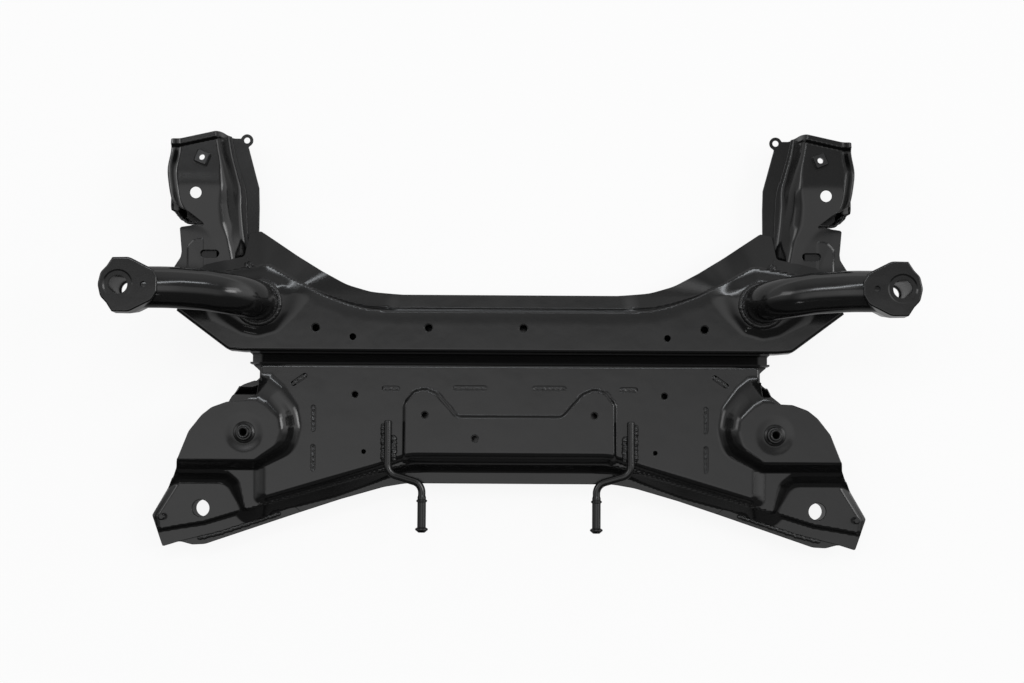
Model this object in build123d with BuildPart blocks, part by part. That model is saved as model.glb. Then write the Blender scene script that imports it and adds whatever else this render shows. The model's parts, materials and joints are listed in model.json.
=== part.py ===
from build123d import *
import math
import os

os.makedirs("parts", exist_ok=True)

# Front axle subframe, in millimetres. +Y is the vehicle's front, +X its right-hand side, +Z up.
# Outlines list the right-hand half or the right-hand piece as (x, y, corner radius).

# Sheets
sheet = 2.6
channel_sheet = 2.0
bracket_sheet = 3.0
bend = 3.0
weld_gap = 0.2
rib_height = 0.8

# Levels above the underside, each the top of a face
joint_z = 28.0
leg_z = 36.0
ridge_z = 50.0
panel_z = 58.0
plateau_z = 61.0
dome_z = 76.0
boss_z = 68.0
seat_z = 20.0

# Arm tubes
tube_diameter = 45.0
tube_wall = 2.5
tube_end_z = 148.5
tube_bend = 52.0
foot_x, foot_y = 283.0, 39.5
tube_hole_clearance = 0.3
tube_end_x, tube_end_y = 404.0, 48.2

# Body mount brackets at the arm tubes' ends
mount_x, mount_y = 420.8, 49.0
cap_z = 174.0
cap_hole = 21.0
mount_bore = 20.0
cap_dish_diameter = 29.0
cap_dish_depth = 1.2
mount_sleeve_diameter = 25.0
pan_z = 100.0
pan_hole = 17.0
peep_hole = 6.6
peep_x = 393.4

# Rear leg mounts
leg_x, leg_y = 347.8, -191.3
leg_bore = 19.0
leg_sleeve_diameter = 24.0
leg_hole = 19.6
leg_pin_x, leg_pin_y = 390.5, -201.0
leg_pin_diameter = 8.0
leg_pin_height = 11.0

# Rear bush nuts in the domes
bush_x, bush_y = 295.2, -106.6
bush_thread = 10.2
bush_collar = 16.0
bush_flange = 22.0
bush_flange_height = 3.0
bush_nut_height = 17.0
bush_dish = 31.0
bush_dish_depth = 3.0
bush_bolt_hole = 13.0
seat_diameter = 64.0

# Front horns
horn_z = 62.0
horn_bolt_x, horn_bolt_y = 355.3, 163.7
horn_bolt_hole = 13.0
horn_nut_x, horn_nut_y = 348.1, 203.1
horn_nut_side = 15.0
horn_nut_height = 6.5
horn_nut_thread = 6.8
horn_nut_turn = 22.0
horn_nut_hole = 8.5
horn_access_hole = 27.0
horn_floor_z = 8.0
strip_z = joint_z + 2 * sheet
eyelet_x, eyelet_y = 301.8, 227.7
eyelet_hole = 7.0
eyelet_radius = 6.4
lip_height = 9.0

# Front arm brackets under the horns
bracket_z = 46.0
bracket_foot_z = 2.0
bracket_inner_x = 333.0
bracket_rear_y, bracket_front_y = 90.0, 123.0
bracket_end_y = 128.0
bracket_bolt_hole = 12.5
bracket_bolt_x, bracket_bolt_z = 356.0, 21.0
bolt_access_hole = 20.0

# Centre channel between the two top sheets
gap_front_y, gap_rear_y = -14.6, -28.6
channel_end_x = 292.0
channel_floor_z = 30.0
channel_top_z = 53.0

# Exhaust hanger rods
rod_diameter = 8.4
pin_diameter = 9.6
rod_x, pin_x = 136.0, 97.8
rod_top_y = -92.0
rod_tip_y = -217.0

# Holes in the top sheets: x, y, diameter
rack_holes = [(218.7, 12.2, 9.6), (-218.7, 12.2, 9.6), (-91.6, 12.6, 9.6), (15.1, 12.6, 9.6)]
front_small_holes = [(176.8, 2.0, 7.2), (-176.8, 2.0, 7.2)]
shield_holes = [(173.6, -62.9, 7.6), (-173.6, -62.9, 7.6)]
plateau_holes = [(94.9, -85.5, 8.2), (-94.9, -85.5, 8.2), (-38.8, -111.8, 8.4)]
rear_small_holes = [(163.3, -126.9, 5.0), (-163.3, -126.9, 5.0)]
nut_height = 8.0

# Plug weld slots: x, y, length, turn from the X axis, all on the right-hand half
plug_welds = [
    (236.5, -46.5, 21.0, -35.0),
    (220.0, -90.0, 30.0, 90.0),
    (220.0, -134.0, 30.0, 90.0),
    (133.5, -56.0, 20.0, 0.0),
    (44.5, -55.0, 38.0, 0.0),
]
plug_width = 5.2
plug_clearance = 0.3
plug_depth = 1.2


def mirrored(points):
    """A right-hand half outline, then its mirror image back to the start."""
    return points + [(-x, y, radius) for x, y, radius in reversed(points)]


def inset(points, distance):
    """A closed outline moved inwards, corner by corner, with its radii kept concentric."""
    pairs = list(zip(points, points[1:] + points[:1]))
    turning = 1 if sum(a[0] * b[1] - b[0] * a[1] for a, b in pairs) > 0 else -1
    moved = []
    for before, here, after in zip(points[-1:] + points[:-1], points, points[1:] + points[:1]):
        coming = (Vector(here[0], here[1]) - Vector(before[0], before[1])).normalized()
        going = (Vector(after[0], after[1]) - Vector(here[0], here[1])).normalized()
        middle = (coming + going).normalized()
        reach = turning * distance / middle.dot(coming)
        outwards = turning * (coming.X * going.Y - coming.Y * going.X) > 0
        radius = here[2] - distance if outwards else here[2] + distance
        moved.append((here[0] - middle.Y * reach, here[1] + middle.X * reach, max(radius, 0.4)))
    return moved


def outline_face(points):
    """Fills a rounded outline in the sketch that is open."""
    corners = [(x, y) for x, y, radius in points]
    with BuildLine() as line:
        FilletPolyline(*corners, radius=[radius for x, y, radius in points], close=True)
    make_face(line.edges())


def frustum(foot, top, low, high):
    """A solid with straight sides between a lower and an upper outline with as many corners."""
    with BuildPart() as solid:
        for outline, level in ((foot, low), (top, high)):
            with BuildSketch(Plane.XY.offset(level)):
                outline_face(outline)
        loft(ruled=True)
    return solid.part


def pressing(foot, top, low, high, skin):
    """The frustum of a mirrored foot and top line, each moved inwards by the skin."""
    return frustum(inset(mirrored(foot), skin), inset(mirrored(top), skin), low, high)


def slab(outline, low, high):
    """A flat plate or a cutter with upright sides."""
    with BuildPart() as solid:
        with BuildSketch(Plane.XY.offset(low)):
            outline_face(outline)
        extrude(amount=high - low)
    return solid.part


def strip(points, thickness):
    """The closed section of a bent sheet from its upper line, with each bend's radii concentric."""
    upper, lower = [], []
    for i, here in enumerate(points):
        before, after = points[max(i - 1, 0)], points[min(i + 1, len(points) - 1)]
        start, end = Vector(before[0], before[1]), Vector(after[0], after[1])
        at = Vector(here[0], here[1])
        coming = (at - start).normalized() if i else (end - at).normalized()
        going = (end - at).normalized() if i < len(points) - 1 else coming
        middle = (coming + going).normalized()
        reach = thickness / middle.dot(coming)
        downhill = coming.X * going.Y - coming.Y * going.X < 0
        inner, outer = here[2], here[2] + thickness if here[2] else 0
        upper.append((at.X, at.Y, outer if downhill else inner))
        lower.append((at.X + middle.Y * reach, at.Y - middle.X * reach, inner if downhill else outer))
    return upper + lower[::-1]


def write(piece, label):
    """Labels a finished piece and writes it."""
    piece.label = label
    export_step(piece, f"parts/{label}.step")


def write_pair(piece, label):
    """Writes a right-hand piece and its left-hand twin."""
    write(piece, f"{label}_right")
    with BuildPart() as twin:
        mirror(piece, about=Plane.YZ)
    write(twin.part, f"{label}_left")


def both_sides(x, y):
    """Locations of a feature and its mirror image."""
    return Locations((x, y), (-x, y))


# Outer flange line, shared by the top sheets and the lower sheet
front_flange = [
    (122, 52.2, 60), (158, 54.6, 60), (185, 62, 60), (212, 76.5, 60), (240, 94, 40),
    (283.5, 123, 3), (297, 121, 3), (301, 93, 4), (345, 84, 6), (368, 64, 6), (374.5, 29.5, 3),
]
rear_flange = [
    (391, -234.64, 1.5), (372.4, -228.6, 14), (358, -232.6, 12), (343.5, -231.8, 14),
    (240.1, -196.6, 60), (191.3, -180.5, 60), (142.1, -166.3, 60), (117, -162.0, 60),
]
upper_rear_flange = [
    (391, -234.64, 1.5), (372.4, -228.9, 4), (362, -226.3, 6), (326, -217.5, 30), (249, -191.8, 5),
    (241, -190, 4), (235.5, -195.1, 2), (191.3, -180.5, 60), (142.1, -166.3, 60), (117, -162.0, 60),
]
leg_edge = [(375, -149.7, 3), (403.6, -199.4, 4)]
mouth_edge = [
    (281, -46, 1), (282, -64, 3), (298.7, -71.8, 6), (314.8, -72.5, 8), (331.9, -78.7, 14),
    (342.9, -87.5, 14), (357, -105.5, 14), (370, -138.7, 6), (375, -149.7, 3),
]

# Front top sheet
front_top = [
    (128, 31, 70), (160, 33.6, 70), (181, 38.8, 70), (208, 48.6, 70), (238, 63.2, 50),
    (273, 83, 8), (300, 79, 10), (345, 70, 12), (369, 51, 12), (374.5, 29.5, 3),
    (317.5, -13, 5), (300, gap_front_y, 5),
]
front_foot = [
    (127, 37.4, 76), (158, 39.8, 76), (178.5, 44.9, 76), (205, 54.6, 76), (235, 69.2, 56),
    (272, 90, 12), (301, 85.5, 14), (346, 76.5, 16), (370, 56, 14), (374.5, 29.5, 3),
    (317.5, -13, 5), (300, gap_front_y, 5),
]
boss_foot = [
    (333, 25, 10), (301, 7, 18), (284, 3.5, 18), (263, 9.5, 14), (246, 28, 20),
    (231, 53, 9), (244, 63, 10), (277, 79, 12), (318, 72, 16), (352, 52, 12),
]
boss_top = [
    (322, 31, 8), (301, 14.5, 14), (285, 10.5, 14), (268, 15, 12), (257, 31, 12),
    (253, 50, 9), (258, 58, 8), (280, 66, 10), (308, 62, 12), (330, 47, 10),
]


def front_form(skin):
    """The space below the front top sheet's outer face, or below its inner face."""
    with BuildPart() as form:
        add(pressing(front_foot, front_top, joint_z, panel_z - skin, skin))
        boss = frustum(inset(boss_foot, skin), inset(boss_top, skin), panel_z - skin, boss_z - skin)
        add(boss)
        mirror(boss, about=Plane.YZ)
    return form.part


with BuildPart() as front_upper_panel:
    add(front_form(0))
    flange_outline = mirrored(front_flange + [(317.5, -13, 5), (300, gap_front_y, 5)])
    add(slab(flange_outline, joint_z, joint_z + sheet))
    add(front_form(sheet), mode=Mode.SUBTRACT)
    with BuildSketch(Plane.XY.offset(joint_z)):
        with both_sides(foot_x, foot_y):
            Circle(tube_diameter / 2 + tube_hole_clearance)
        for x, y, diameter in rack_holes + front_small_holes:
            with Locations((x, y)):
                Circle(diameter / 2)
    extrude(amount=boss_z, mode=Mode.SUBTRACT)
write(front_upper_panel.part, "front_upper_panel")

# Rear top sheet
base_top = [
    (281, gap_rear_y, 2), (281, -52, 4), (362, -100, 10), (386, -149.6, 3), (317, -149.6, 10),
    (304, -160, 14), (291, -191, 5), (201, -166.5, 60), (149.5, -152, 60), (113, -143.8, 60),
]
base_foot = [
    (281, gap_rear_y, 2), (281, -52, 4), (362, -100, 10), (386, -169, 3), (324, -169, 14),
    (318, -175, 14), (304.5, -197, 5), (202.5, -171.5, 60), (151, -157.5, 60), (114, -149.3, 60),
]
rear_top = [
    (281, gap_rear_y, 2), (281, -125, 4), (276, -142, 8), (275.5, -179, 5),
    (200.4, -156.6, 60), (149, -142.2, 60), (113.6, -134.2, 60),
]
rear_foot = [
    (281, gap_rear_y, 2), (289, -125, 4), (286, -142, 8), (285.5, -187.5, 7),
    (201.5, -163.4, 60), (150, -149, 60), (114.2, -140.9, 60),
]
dome_foot = [
    (430, -37, 1), (266, -37, 4), (250, -52, 14), (234, -76, 22), (229.5, -101, 26),
    (237, -130, 26), (275, -147, 14), (430, -147, 1),
]
dome_top = [
    (430, -64, 1), (280, -64, 6), (270, -70, 9), (254.5, -86, 16), (251.5, -104, 18),
    (257, -121, 18), (283, -138.3, 10), (430, -138.3, 1),
]
leg_top = [
    (285, -140, 1), (366, -140, 1), (366, -150, 3), (397, -200, 4), (394, -215.2, 3),
    (374, -211.3, 30), (344, -206.3, 30), (291, -190, 3),
]
leg_foot = [
    (285, -140, 1), (375, -140, 1), (375, -150, 3), (403.6, -199.4, 4), (400, -219.8, 3),
    (374.5, -215.2, 30), (344, -210.5, 30), (289, -194, 3),
]
plateau_foot = [
    (58, -85.5, 9), (80, -60.5, 14), (94, -54.5, 14), (108, -57.5, 14), (119.5, -72, 14), (120, -140, 3),
]
plateau_top = [
    (60, -89.5, 12), (83, -64, 12), (94, -59, 11), (105.5, -61, 11), (115.5, -74, 11), (116, -135, 8),
]


def rear_form(skin):
    """The space below the rear top sheet's outer face, or below its inner face."""
    with BuildPart() as form:
        add(pressing(base_foot, base_top, joint_z, ridge_z - skin, skin))
        add(pressing(rear_foot, rear_top, ridge_z - skin, panel_z - skin, skin))
        dome = frustum(inset(dome_foot, skin), inset(dome_top, skin), ridge_z - skin, dome_z - skin)
        under_dome = slab(inset(dome_foot, skin), joint_z, ridge_z - skin)
        leg = frustum(inset(leg_foot, skin), inset(leg_top, skin), joint_z, leg_z - skin)
        for lump in (dome, under_dome, leg):
            add(lump)
            mirror(lump, about=Plane.YZ)
        add(pressing(plateau_foot, plateau_top, panel_z - skin, plateau_z - skin, skin))
    return form.part


def outside_mouth(low, high):
    """Everything outside the bush pocket's free edge, on both sides."""
    beyond = mouth_edge + [(460, -149.7, 1), (460, -30, 1), (281, -30, 1)]
    with BuildPart() as cutter:
        side = slab(beyond, low, high)
        add(side)
        mirror(side, about=Plane.YZ)
    return cutter.part


# Joggles across the rear flange: x, y, width, length
flange_ribs = [
    (-4.5, -155.5, 6.5, 11.0), (3.5, -155.5, 4.5, 11.0), (229.7, -186.5, 3.5, 11.0), (-229.7, -186.5, 3.5, 11.0),
]

dish_floor_z = dome_z - bush_dish_depth
rear_plate = [(281, gap_rear_y, 2), (281, -150, 2)] + leg_edge + upper_rear_flange
with BuildPart() as rear_upper_panel:
    add(rear_form(0))
    add(slab(mirrored(rear_plate), joint_z, joint_z + sheet))
    with BuildSketch(Plane.XY.offset(joint_z + sheet)):
        for x, y, width, length in flange_ribs:
            with Locations((x, y)):
                RectangleRounded(width, length, 1.5)
    extrude(amount=rib_height)
    add(rear_form(sheet), mode=Mode.SUBTRACT)
    add(outside_mouth(joint_z - 1, dome_z + 1), mode=Mode.SUBTRACT)
    with BuildSketch(Plane.XY.offset(dish_floor_z - sheet)):
        with both_sides(bush_x, bush_y):
            Circle(bush_dish / 2 + sheet)
    extrude(amount=bush_dish_depth)
    with BuildSketch(Plane.XY.offset(dish_floor_z)):
        with both_sides(bush_x, bush_y):
            Circle(bush_dish / 2)
    extrude(amount=2 * bush_dish_depth, taper=-30, mode=Mode.SUBTRACT)
    with BuildSketch(Plane.XY.offset(joint_z)):
        with both_sides(bush_x, bush_y):
            Circle(bush_bolt_hole / 2)
        with both_sides(leg_x, leg_y):
            Circle(leg_hole / 2)
        for x, y, diameter in shield_holes + plateau_holes + rear_small_holes:
            with Locations((x, y)):
                Circle(diameter / 2)
        for x, y, length, turn in plug_welds:
            with Locations(Location((x, y), turn), Location((-x, y), -turn)):
                SlotOverall(length, plug_width)
    extrude(amount=dome_z, mode=Mode.SUBTRACT)
write(rear_upper_panel.part, "rear_upper_panel")

# Centre channel
channel_width = gap_front_y - gap_rear_y
channel_height = channel_top_z - channel_floor_z
channel_y = (gap_front_y + gap_rear_y) / 2
upwards = (Align.CENTER, Align.MIN)
with BuildPart() as centre_channel:
    with BuildSketch(Plane.YZ.offset(-channel_end_x)):
        with Locations((channel_y, channel_floor_z - channel_sheet)):
            Rectangle(channel_width, channel_height + channel_sheet, align=upwards)
        fillet(vertices().group_by(Axis.Y)[0], radius=bend)
        with Locations((channel_y, channel_floor_z)):
            Rectangle(channel_width - 2 * channel_sheet, channel_height, align=upwards, mode=Mode.SUBTRACT)
    extrude(amount=2 * channel_end_x)
write(centre_channel.part, "centre_channel")

# Lower sheet
lower_mouth = [(300, -60, 8), (316, -72.8, 8), (343, -88, 14), (357, -105.5, 14), (370, -138.7, 6)]
lower_outline = (
    front_flange
    + [(317.5, -13, 5), (channel_end_x, gap_front_y, 3), (channel_end_x, gap_rear_y, 3)]
    + [(284, -35, 3), (284, -47, 4)]
    + lower_mouth + leg_edge + rear_flange
)
tray_top = [
    (128, 38.5, 60), (160, 41.2, 60), (180, 46.5, 60), (207, 57.5, 60), (246, 80, 40), (286, 101, 14),
    (330, 74, 14), (357, 52, 12), (360, 30, 10), (309, -9, 12), (268, -26, 8), (268, -44, 6), (290, -52, 6),
    (440, -52, 2), (440, -149, 2), (364, -149, 4), (391, -201, 8), (375, -216, 12), (344, -211.5, 20),
    (290, -194, 60), (201.5, -169.5, 60), (150, -155.5, 60), (113.6, -147.4, 60),
]
tray_draft = 5.0
drain_holes = [(200.0, 20.0), (120.0, -105.0), (60.0, 5.0), (330.0, -175.0)]
drain_hole = 14.0

with BuildPart() as lower_panel:
    add(slab(mirrored(lower_outline), joint_z - sheet, joint_z))
    add(frustum(inset(mirrored(tray_top), tray_draft), mirrored(tray_top), 0, joint_z))
    hollow = frustum(
        inset(mirrored(tray_top), tray_draft + sheet), inset(mirrored(tray_top), sheet), sheet, joint_z
    )
    add(hollow, mode=Mode.SUBTRACT)
    outside_lower = (
        [(284, -48, 1)] + lower_mouth + [(375, -149.7, 1), (470, -149.7, 1), (470, -48, 1)]
    )
    cutter = slab(outside_lower, -1, joint_z + 1)
    add(cutter, mode=Mode.SUBTRACT)
    mirror(cutter, about=Plane.YZ, mode=Mode.SUBTRACT)
    for grow, low, high, mode in ((0, 0, seat_z, Mode.ADD), (-sheet, -sheet, seat_z - sheet, Mode.SUBTRACT)):
        with BuildSketch(Plane.XY.offset(low)):
            with both_sides(bush_x, bush_y):
                Circle(seat_diameter / 2 + grow)
        extrude(amount=high - low, taper=15, mode=mode)
    with BuildSketch():
        with both_sides(bush_x, bush_y):
            Circle(bush_bolt_hole / 2)
        with both_sides(leg_x, leg_y):
            Circle(leg_hole / 2)
        for x, y in drain_holes:
            with both_sides(x, y):
                Circle(drain_hole / 2)
    extrude(amount=joint_z, mode=Mode.SUBTRACT)
write(lower_panel.part, "lower_panel")


def lofted(stations, section, thickness):
    """A long bent sheet through its sections, one at each station's y."""
    with BuildPart() as solid:
        for station in stations:
            with BuildSketch(Plane.XZ.offset(-station[0])):
                outline_face(strip(section(*station[1:]), thickness))
        loft()
    return solid.part


# Upper sheet of the front horns: y, flange edge, groove, inner and outer edge of the flat, its level, then
# the two points of the lip, which lies down as a flange on the arm bracket at the rear
bracket_flange_z = bracket_z + sheet + weld_gap
shell_stations = [
    (238, 320, 325.5, 332, 374, horn_z, 378, horn_z + 5, 381, horn_z + lip_height),
    (210, 314, 320.5, 326.5, 375, horn_z, 379, horn_z + 5, 382, horn_z + lip_height),
    (188, 307.5, 314.5, 320.5, 378.5, horn_z, 383, horn_z + 5, 386.5, horn_z + lip_height),
    (172, 302.5, 310, 318.5, 377, horn_z, 381.5, horn_z + 5, 385, horn_z + lip_height),
    (150, 300.4, 308.5, 321, 372, horn_z - 1, 376, horn_z + 3, 379.5, horn_z + 7.5),
    (128, 299.5, 306, 321, 355, 58, 360, 56, 372, 55),
    (108, 298, 303, 318, 340, 54, 347, bracket_flange_z, 372, bracket_flange_z),
    (88.5, 297, 301.5, 314, 338, 53, 345, bracket_flange_z, 378, bracket_flange_z),
]
shell_outline = [
    (290, 231, 1), (318, 231, 4), (327, 234.5, 5), (386, 221.4, 2), (396, 216, 1), (396, 152, 1),
    (376, 150, 2), (362, 141, 8), (349, 131.5, 5), (341.5, 122, 6), (344, 112, 5), (352.5, 107.5, 8), (361, 102.5, 8),
    (366, 94, 5), (367.5, 84, 2), (290, 84, 1),
]


def shell_section(edge, groove, inner, outer, level, lip_x, lip_z, end_x, end_z):
    """Flange, slope, flat and lip of the horn's upper sheet."""
    flange_level = strip_z + sheet
    return [
        (edge, flange_level, 0), (groove, flange_level, bend), (inner, level, 5),
        (outer, level, 2), (lip_x, lip_z, 0), (end_x, end_z, 0),
    ]


with BuildPart() as tower_shell:
    add(lofted(shell_stations, shell_section, sheet))
    add(slab(shell_outline, joint_z, horn_z + 2 * lip_height), mode=Mode.INTERSECT)
    with BuildSketch(Plane.XY.offset(joint_z)):
        with Locations((horn_bolt_x, horn_bolt_y)):
            Circle(horn_bolt_hole / 2)
        with Locations((horn_nut_x, horn_nut_y)):
            Circle(horn_nut_hole / 2)
        with Locations((340, 95.5)):
            SlotOverall(21, 8)
    extrude(amount=horn_z, mode=Mode.SUBTRACT)
write_pair(tower_shell.part, "tower_shell")

# Lower sheet of the front horns: y, strip edge, top of the inner wall, floor's two edges, top of the outer
# wall and its level
tray_stations = [
    (238, 303, 327, 331, 369, 377.5, 58),
    (210, 296.8, 321.5, 326, 369, 378, 58),
    (188, 290.5, 315.5, 320, 371, 381, 58),
    (172, 285.9, 311, 316, 372, 381.5, 55),
    (150, 286.4, 309.5, 315, 374, 383, 47),
    (131, 284, 307, 312, 372, 381, 45),
]
box_stations = [
    (131, 284, 307, 312, bracket_inner_x - sheet - 3, bracket_inner_x - sheet, bracket_z - bracket_sheet),
    (97, 283, 303.5, 308, bracket_inner_x - sheet - 3, bracket_inner_x - sheet, bracket_z - bracket_sheet),
]
tray_outline = [
    (294, 229.8, 1), (316, 229.8, 4), (326, 232.6, 5), (382.5, 220, 3), (396, 214, 1), (396, 158, 1),
    (387, 150.5, 4), (374.8, 136.2, 6), (367.5, 131, 5), (bracket_inner_x, 131, 1),
    (bracket_inner_x, 97, 1), (303, 97, 2), (303, 117.5, 5), (275, 117.5, 1), (275, 200, 1),
]


def tray_section(edge, wall, floor_inner, floor_outer, outer, outer_z):
    """Strip, inner wall, floor and outer wall of the horn's lower sheet."""
    floor = horn_floor_z + sheet
    return [
        (edge, strip_z, 0), (wall, strip_z, bend), (floor_inner, floor, bend), (floor_outer, floor, bend),
        (outer, outer_z, 0),
    ]


with BuildPart() as tower_tray:
    add(lofted(tray_stations, tray_section, sheet))
    add(lofted(box_stations, tray_section, sheet))
    add(slab(tray_outline, 0, 70), mode=Mode.INTERSECT)
    rear_wall = [
        (386.2, 151, 0), (374.8, 136.2, 0), (367.5, 131, 0), (bracket_inner_x - sheet, 131, 0),
        (bracket_inner_x - sheet, 131 + sheet, 0), (366.5, 131 + sheet, 0), (372.8, 138, 0), (383, 151, 0),
    ]
    front_wall = [(334, 230.8, 0), (381, 220.4, 0), (380.4, 217.8, 0), (333.4, 228.2, 0)]
    for wall, top in ((rear_wall, 44), (front_wall, 57)):
        add(slab(wall, horn_floor_z, top))
    with BuildSketch(Plane.XY.offset(strip_z - sheet)):
        with Locations((eyelet_x, eyelet_y)):
            Circle(eyelet_radius)
    extrude(amount=sheet)
    with BuildSketch():
        with Locations((eyelet_x, eyelet_y)):
            Circle(eyelet_hole / 2)
        with Locations((horn_bolt_x, horn_bolt_y)):
            Circle(horn_access_hole / 2)
        with Locations((horn_nut_x, horn_nut_y)):
            Circle(horn_access_hole / 2)
    extrude(amount=horn_z, mode=Mode.SUBTRACT)
    with BuildSketch(Plane.XZ.offset(-bracket_end_y)):
        with Locations((bracket_bolt_x, bracket_bolt_z)):
            Circle(bolt_access_hole / 2)
    extrude(amount=-130, mode=Mode.SUBTRACT)
write_pair(tower_tray.part, "tower_tray")

# Square weld nut on each horn
with BuildPart() as tower_nut:
    with BuildSketch(Plane.XY.offset(horn_z + weld_gap)):
        with Locations(Location((horn_nut_x, horn_nut_y), horn_nut_turn)):
            RectangleRounded(horn_nut_side, horn_nut_side, 2)
        with Locations((horn_nut_x, horn_nut_y)):
            Circle(horn_nut_thread / 2, mode=Mode.SUBTRACT)
    extrude(amount=horn_nut_height)
    chamfer(faces().sort_by(Axis.Z)[-1].outer_wire().edges(), length=1)
write_pair(tower_nut.part, "tower_nut")

# Front arm bracket: a plate under each horn's base, and two ears for the arm's front bush welded below it
bracket_outline = [
    (bracket_inner_x, 128.5, 0), (355, 130.5, 6), (373, 125, 2), (371, 98, 8), (372, 92, 6), (380, 82, 2),
    (bracket_inner_x, 82, 0),
]
with BuildPart() as front_arm_bracket:
    add(slab(bracket_outline, bracket_z - bracket_sheet, bracket_z))
write_pair(front_arm_bracket.part, "front_arm_bracket")

ear_top_z = bracket_z - bracket_sheet
ear_outline = [
    (bracket_inner_x, ear_top_z, 0), (371, ear_top_z, 0), (371, 14, 6),
    (364, bracket_foot_z, 8), (346, bracket_foot_z, 8), (bracket_inner_x, 12, 0),
]
with BuildPart() as arm_bush_ears:
    for y in (bracket_rear_y, bracket_front_y):
        with BuildSketch(Plane.XZ.offset(-y)):
            outline_face(ear_outline)
            with Locations((bracket_bolt_x, bracket_bolt_z)):
                Circle(bracket_bolt_hole / 2, mode=Mode.SUBTRACT)
        extrude(amount=bracket_sheet)
write_pair(arm_bush_ears.part, "arm_bush_ears")

# Arm tube: from the body mount inwards, then down through the boss to the lower sheet
tube_route = [
    (tube_end_x, tube_end_y, tube_end_z), (368, tube_end_y, tube_end_z), (332, 46.4, 140.5),
    (foot_x, foot_y, 127.5), (foot_x, foot_y, sheet),
]
with BuildPart() as arm_tube:
    with BuildLine() as route:
        FilletPolyline(*tube_route, radius=[110, 110, tube_bend])
    with BuildSketch(Plane(route.line @ 0, z_dir=route.line % 0)):
        Circle(tube_diameter / 2)
        Circle(tube_diameter / 2 - tube_wall, mode=Mode.SUBTRACT)
    sweep(path=route.line)
write_pair(arm_tube.part, "arm_tube")

# Body mount bracket: a cap above and a pan below, clasping the tube's end
cap_outline = [
    (427, mount_y + 29.3, 1.5), (409, mount_y + 29.6, 14), (384, mount_y + 17, 10), (378.8, mount_y + 8, 5),
    (378.8, mount_y - 8, 5), (384, mount_y - 17, 10), (409, mount_y - 29.6, 14), (427, mount_y - 29.3, 1.5),
    (433, mount_y - 20, 5), (439.6, mount_y - 13, 10), (442.6, mount_y, 14), (439.6, mount_y + 13, 10),
    (433, mount_y + 20, 5),
]
clasp_draft = 5.0
clasp_reach = 36.0
with BuildPart() as tube_end:
    with BuildSketch(Plane.YZ.offset(tube_end_x + tube_hole_clearance)):
        with Locations((tube_end_y, tube_end_z)):
            Circle(tube_diameter / 2 + tube_hole_clearance)
    extrude(amount=-clasp_reach)

with BuildPart() as arm_end_cap:
    add(slab(cap_outline, tube_end_z, cap_z))
    fillet(faces().sort_by(Axis.Z)[-1].edges(), radius=2)
    add(slab(inset(cap_outline, bracket_sheet), tube_end_z, cap_z - bracket_sheet), mode=Mode.SUBTRACT)
    with BuildSketch(Plane.XY.offset(cap_z - cap_dish_depth)):
        with Locations((mount_x, mount_y)):
            Circle(cap_dish_diameter / 2)
    extrude(amount=2 * cap_dish_depth, taper=-55, mode=Mode.SUBTRACT)
    with BuildSketch(Plane.XY.offset(tube_end_z)):
        with Locations((mount_x, mount_y)):
            Circle(cap_hole / 2)
        with Locations((peep_x, mount_y)):
            Circle(peep_hole / 2)
    extrude(amount=cap_z, mode=Mode.SUBTRACT)
    add(tube_end.part, mode=Mode.SUBTRACT)
write_pair(arm_end_cap.part, "arm_end_cap")

with BuildPart() as arm_end_pan:
    add(frustum(inset(cap_outline, clasp_draft), cap_outline, pan_z, tube_end_z))
    hollow = frustum(
        inset(cap_outline, clasp_draft + bracket_sheet), inset(cap_outline, bracket_sheet),
        pan_z + bracket_sheet, tube_end_z,
    )
    add(hollow, mode=Mode.SUBTRACT)
    with BuildSketch(Plane.XY.offset(pan_z)):
        with Locations((mount_x, mount_y)):
            Circle(pan_hole / 2)
    extrude(amount=bracket_sheet, mode=Mode.SUBTRACT)
    add(tube_end.part, mode=Mode.SUBTRACT)
write_pair(arm_end_pan.part, "arm_end_pan")


def sleeve(x, y, outer, bore, low, high):
    """A spacer sleeve for a body bolt."""
    with BuildPart() as solid:
        with BuildSketch(Plane.XY.offset(low)):
            with Locations((x, y)):
                Circle(outer / 2)
                Circle(bore / 2, mode=Mode.SUBTRACT)
        extrude(amount=high - low)
    return solid.part


write_pair(
    sleeve(mount_x, mount_y, mount_sleeve_diameter, mount_bore, pan_z + bracket_sheet, cap_z - bracket_sheet),
    "arm_end_sleeve",
)
write_pair(sleeve(leg_x, leg_y, leg_sleeve_diameter, leg_bore, sheet, leg_z - sheet), "rear_mount_sleeve")

# Flanged nut of the rear bush, standing in each dome's dish
with BuildPart() as arm_bush_nut:
    with BuildSketch(Plane.XY.offset(dish_floor_z)):
        with Locations((bush_x, bush_y)):
            Circle(bush_flange / 2)
    extrude(amount=bush_flange_height)
    with BuildSketch(Plane.XY.offset(dish_floor_z)):
        with Locations((bush_x, bush_y)):
            Circle(bush_collar / 2)
    extrude(amount=bush_nut_height)
    chamfer(faces().sort_by(Axis.Z)[-1].edges(), length=1.2)
    with BuildSketch(Plane.XY.offset(dish_floor_z)):
        with Locations((bush_x, bush_y)):
            Circle(bush_thread / 2)
    extrude(amount=bush_nut_height, mode=Mode.SUBTRACT)
write_pair(arm_bush_nut.part, "arm_bush_nut")

# Locating pin at each leg's tip
with BuildPart() as leg_pin:
    with BuildSketch(Plane.XY.offset(leg_z)):
        with Locations((leg_pin_x, leg_pin_y)):
            Circle(leg_pin_diameter / 2)
    extrude(amount=leg_pin_height)
    chamfer(faces().sort_by(Axis.Z)[-1].edges(), length=1.5)
write_pair(leg_pin.part, "leg_pin")

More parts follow.
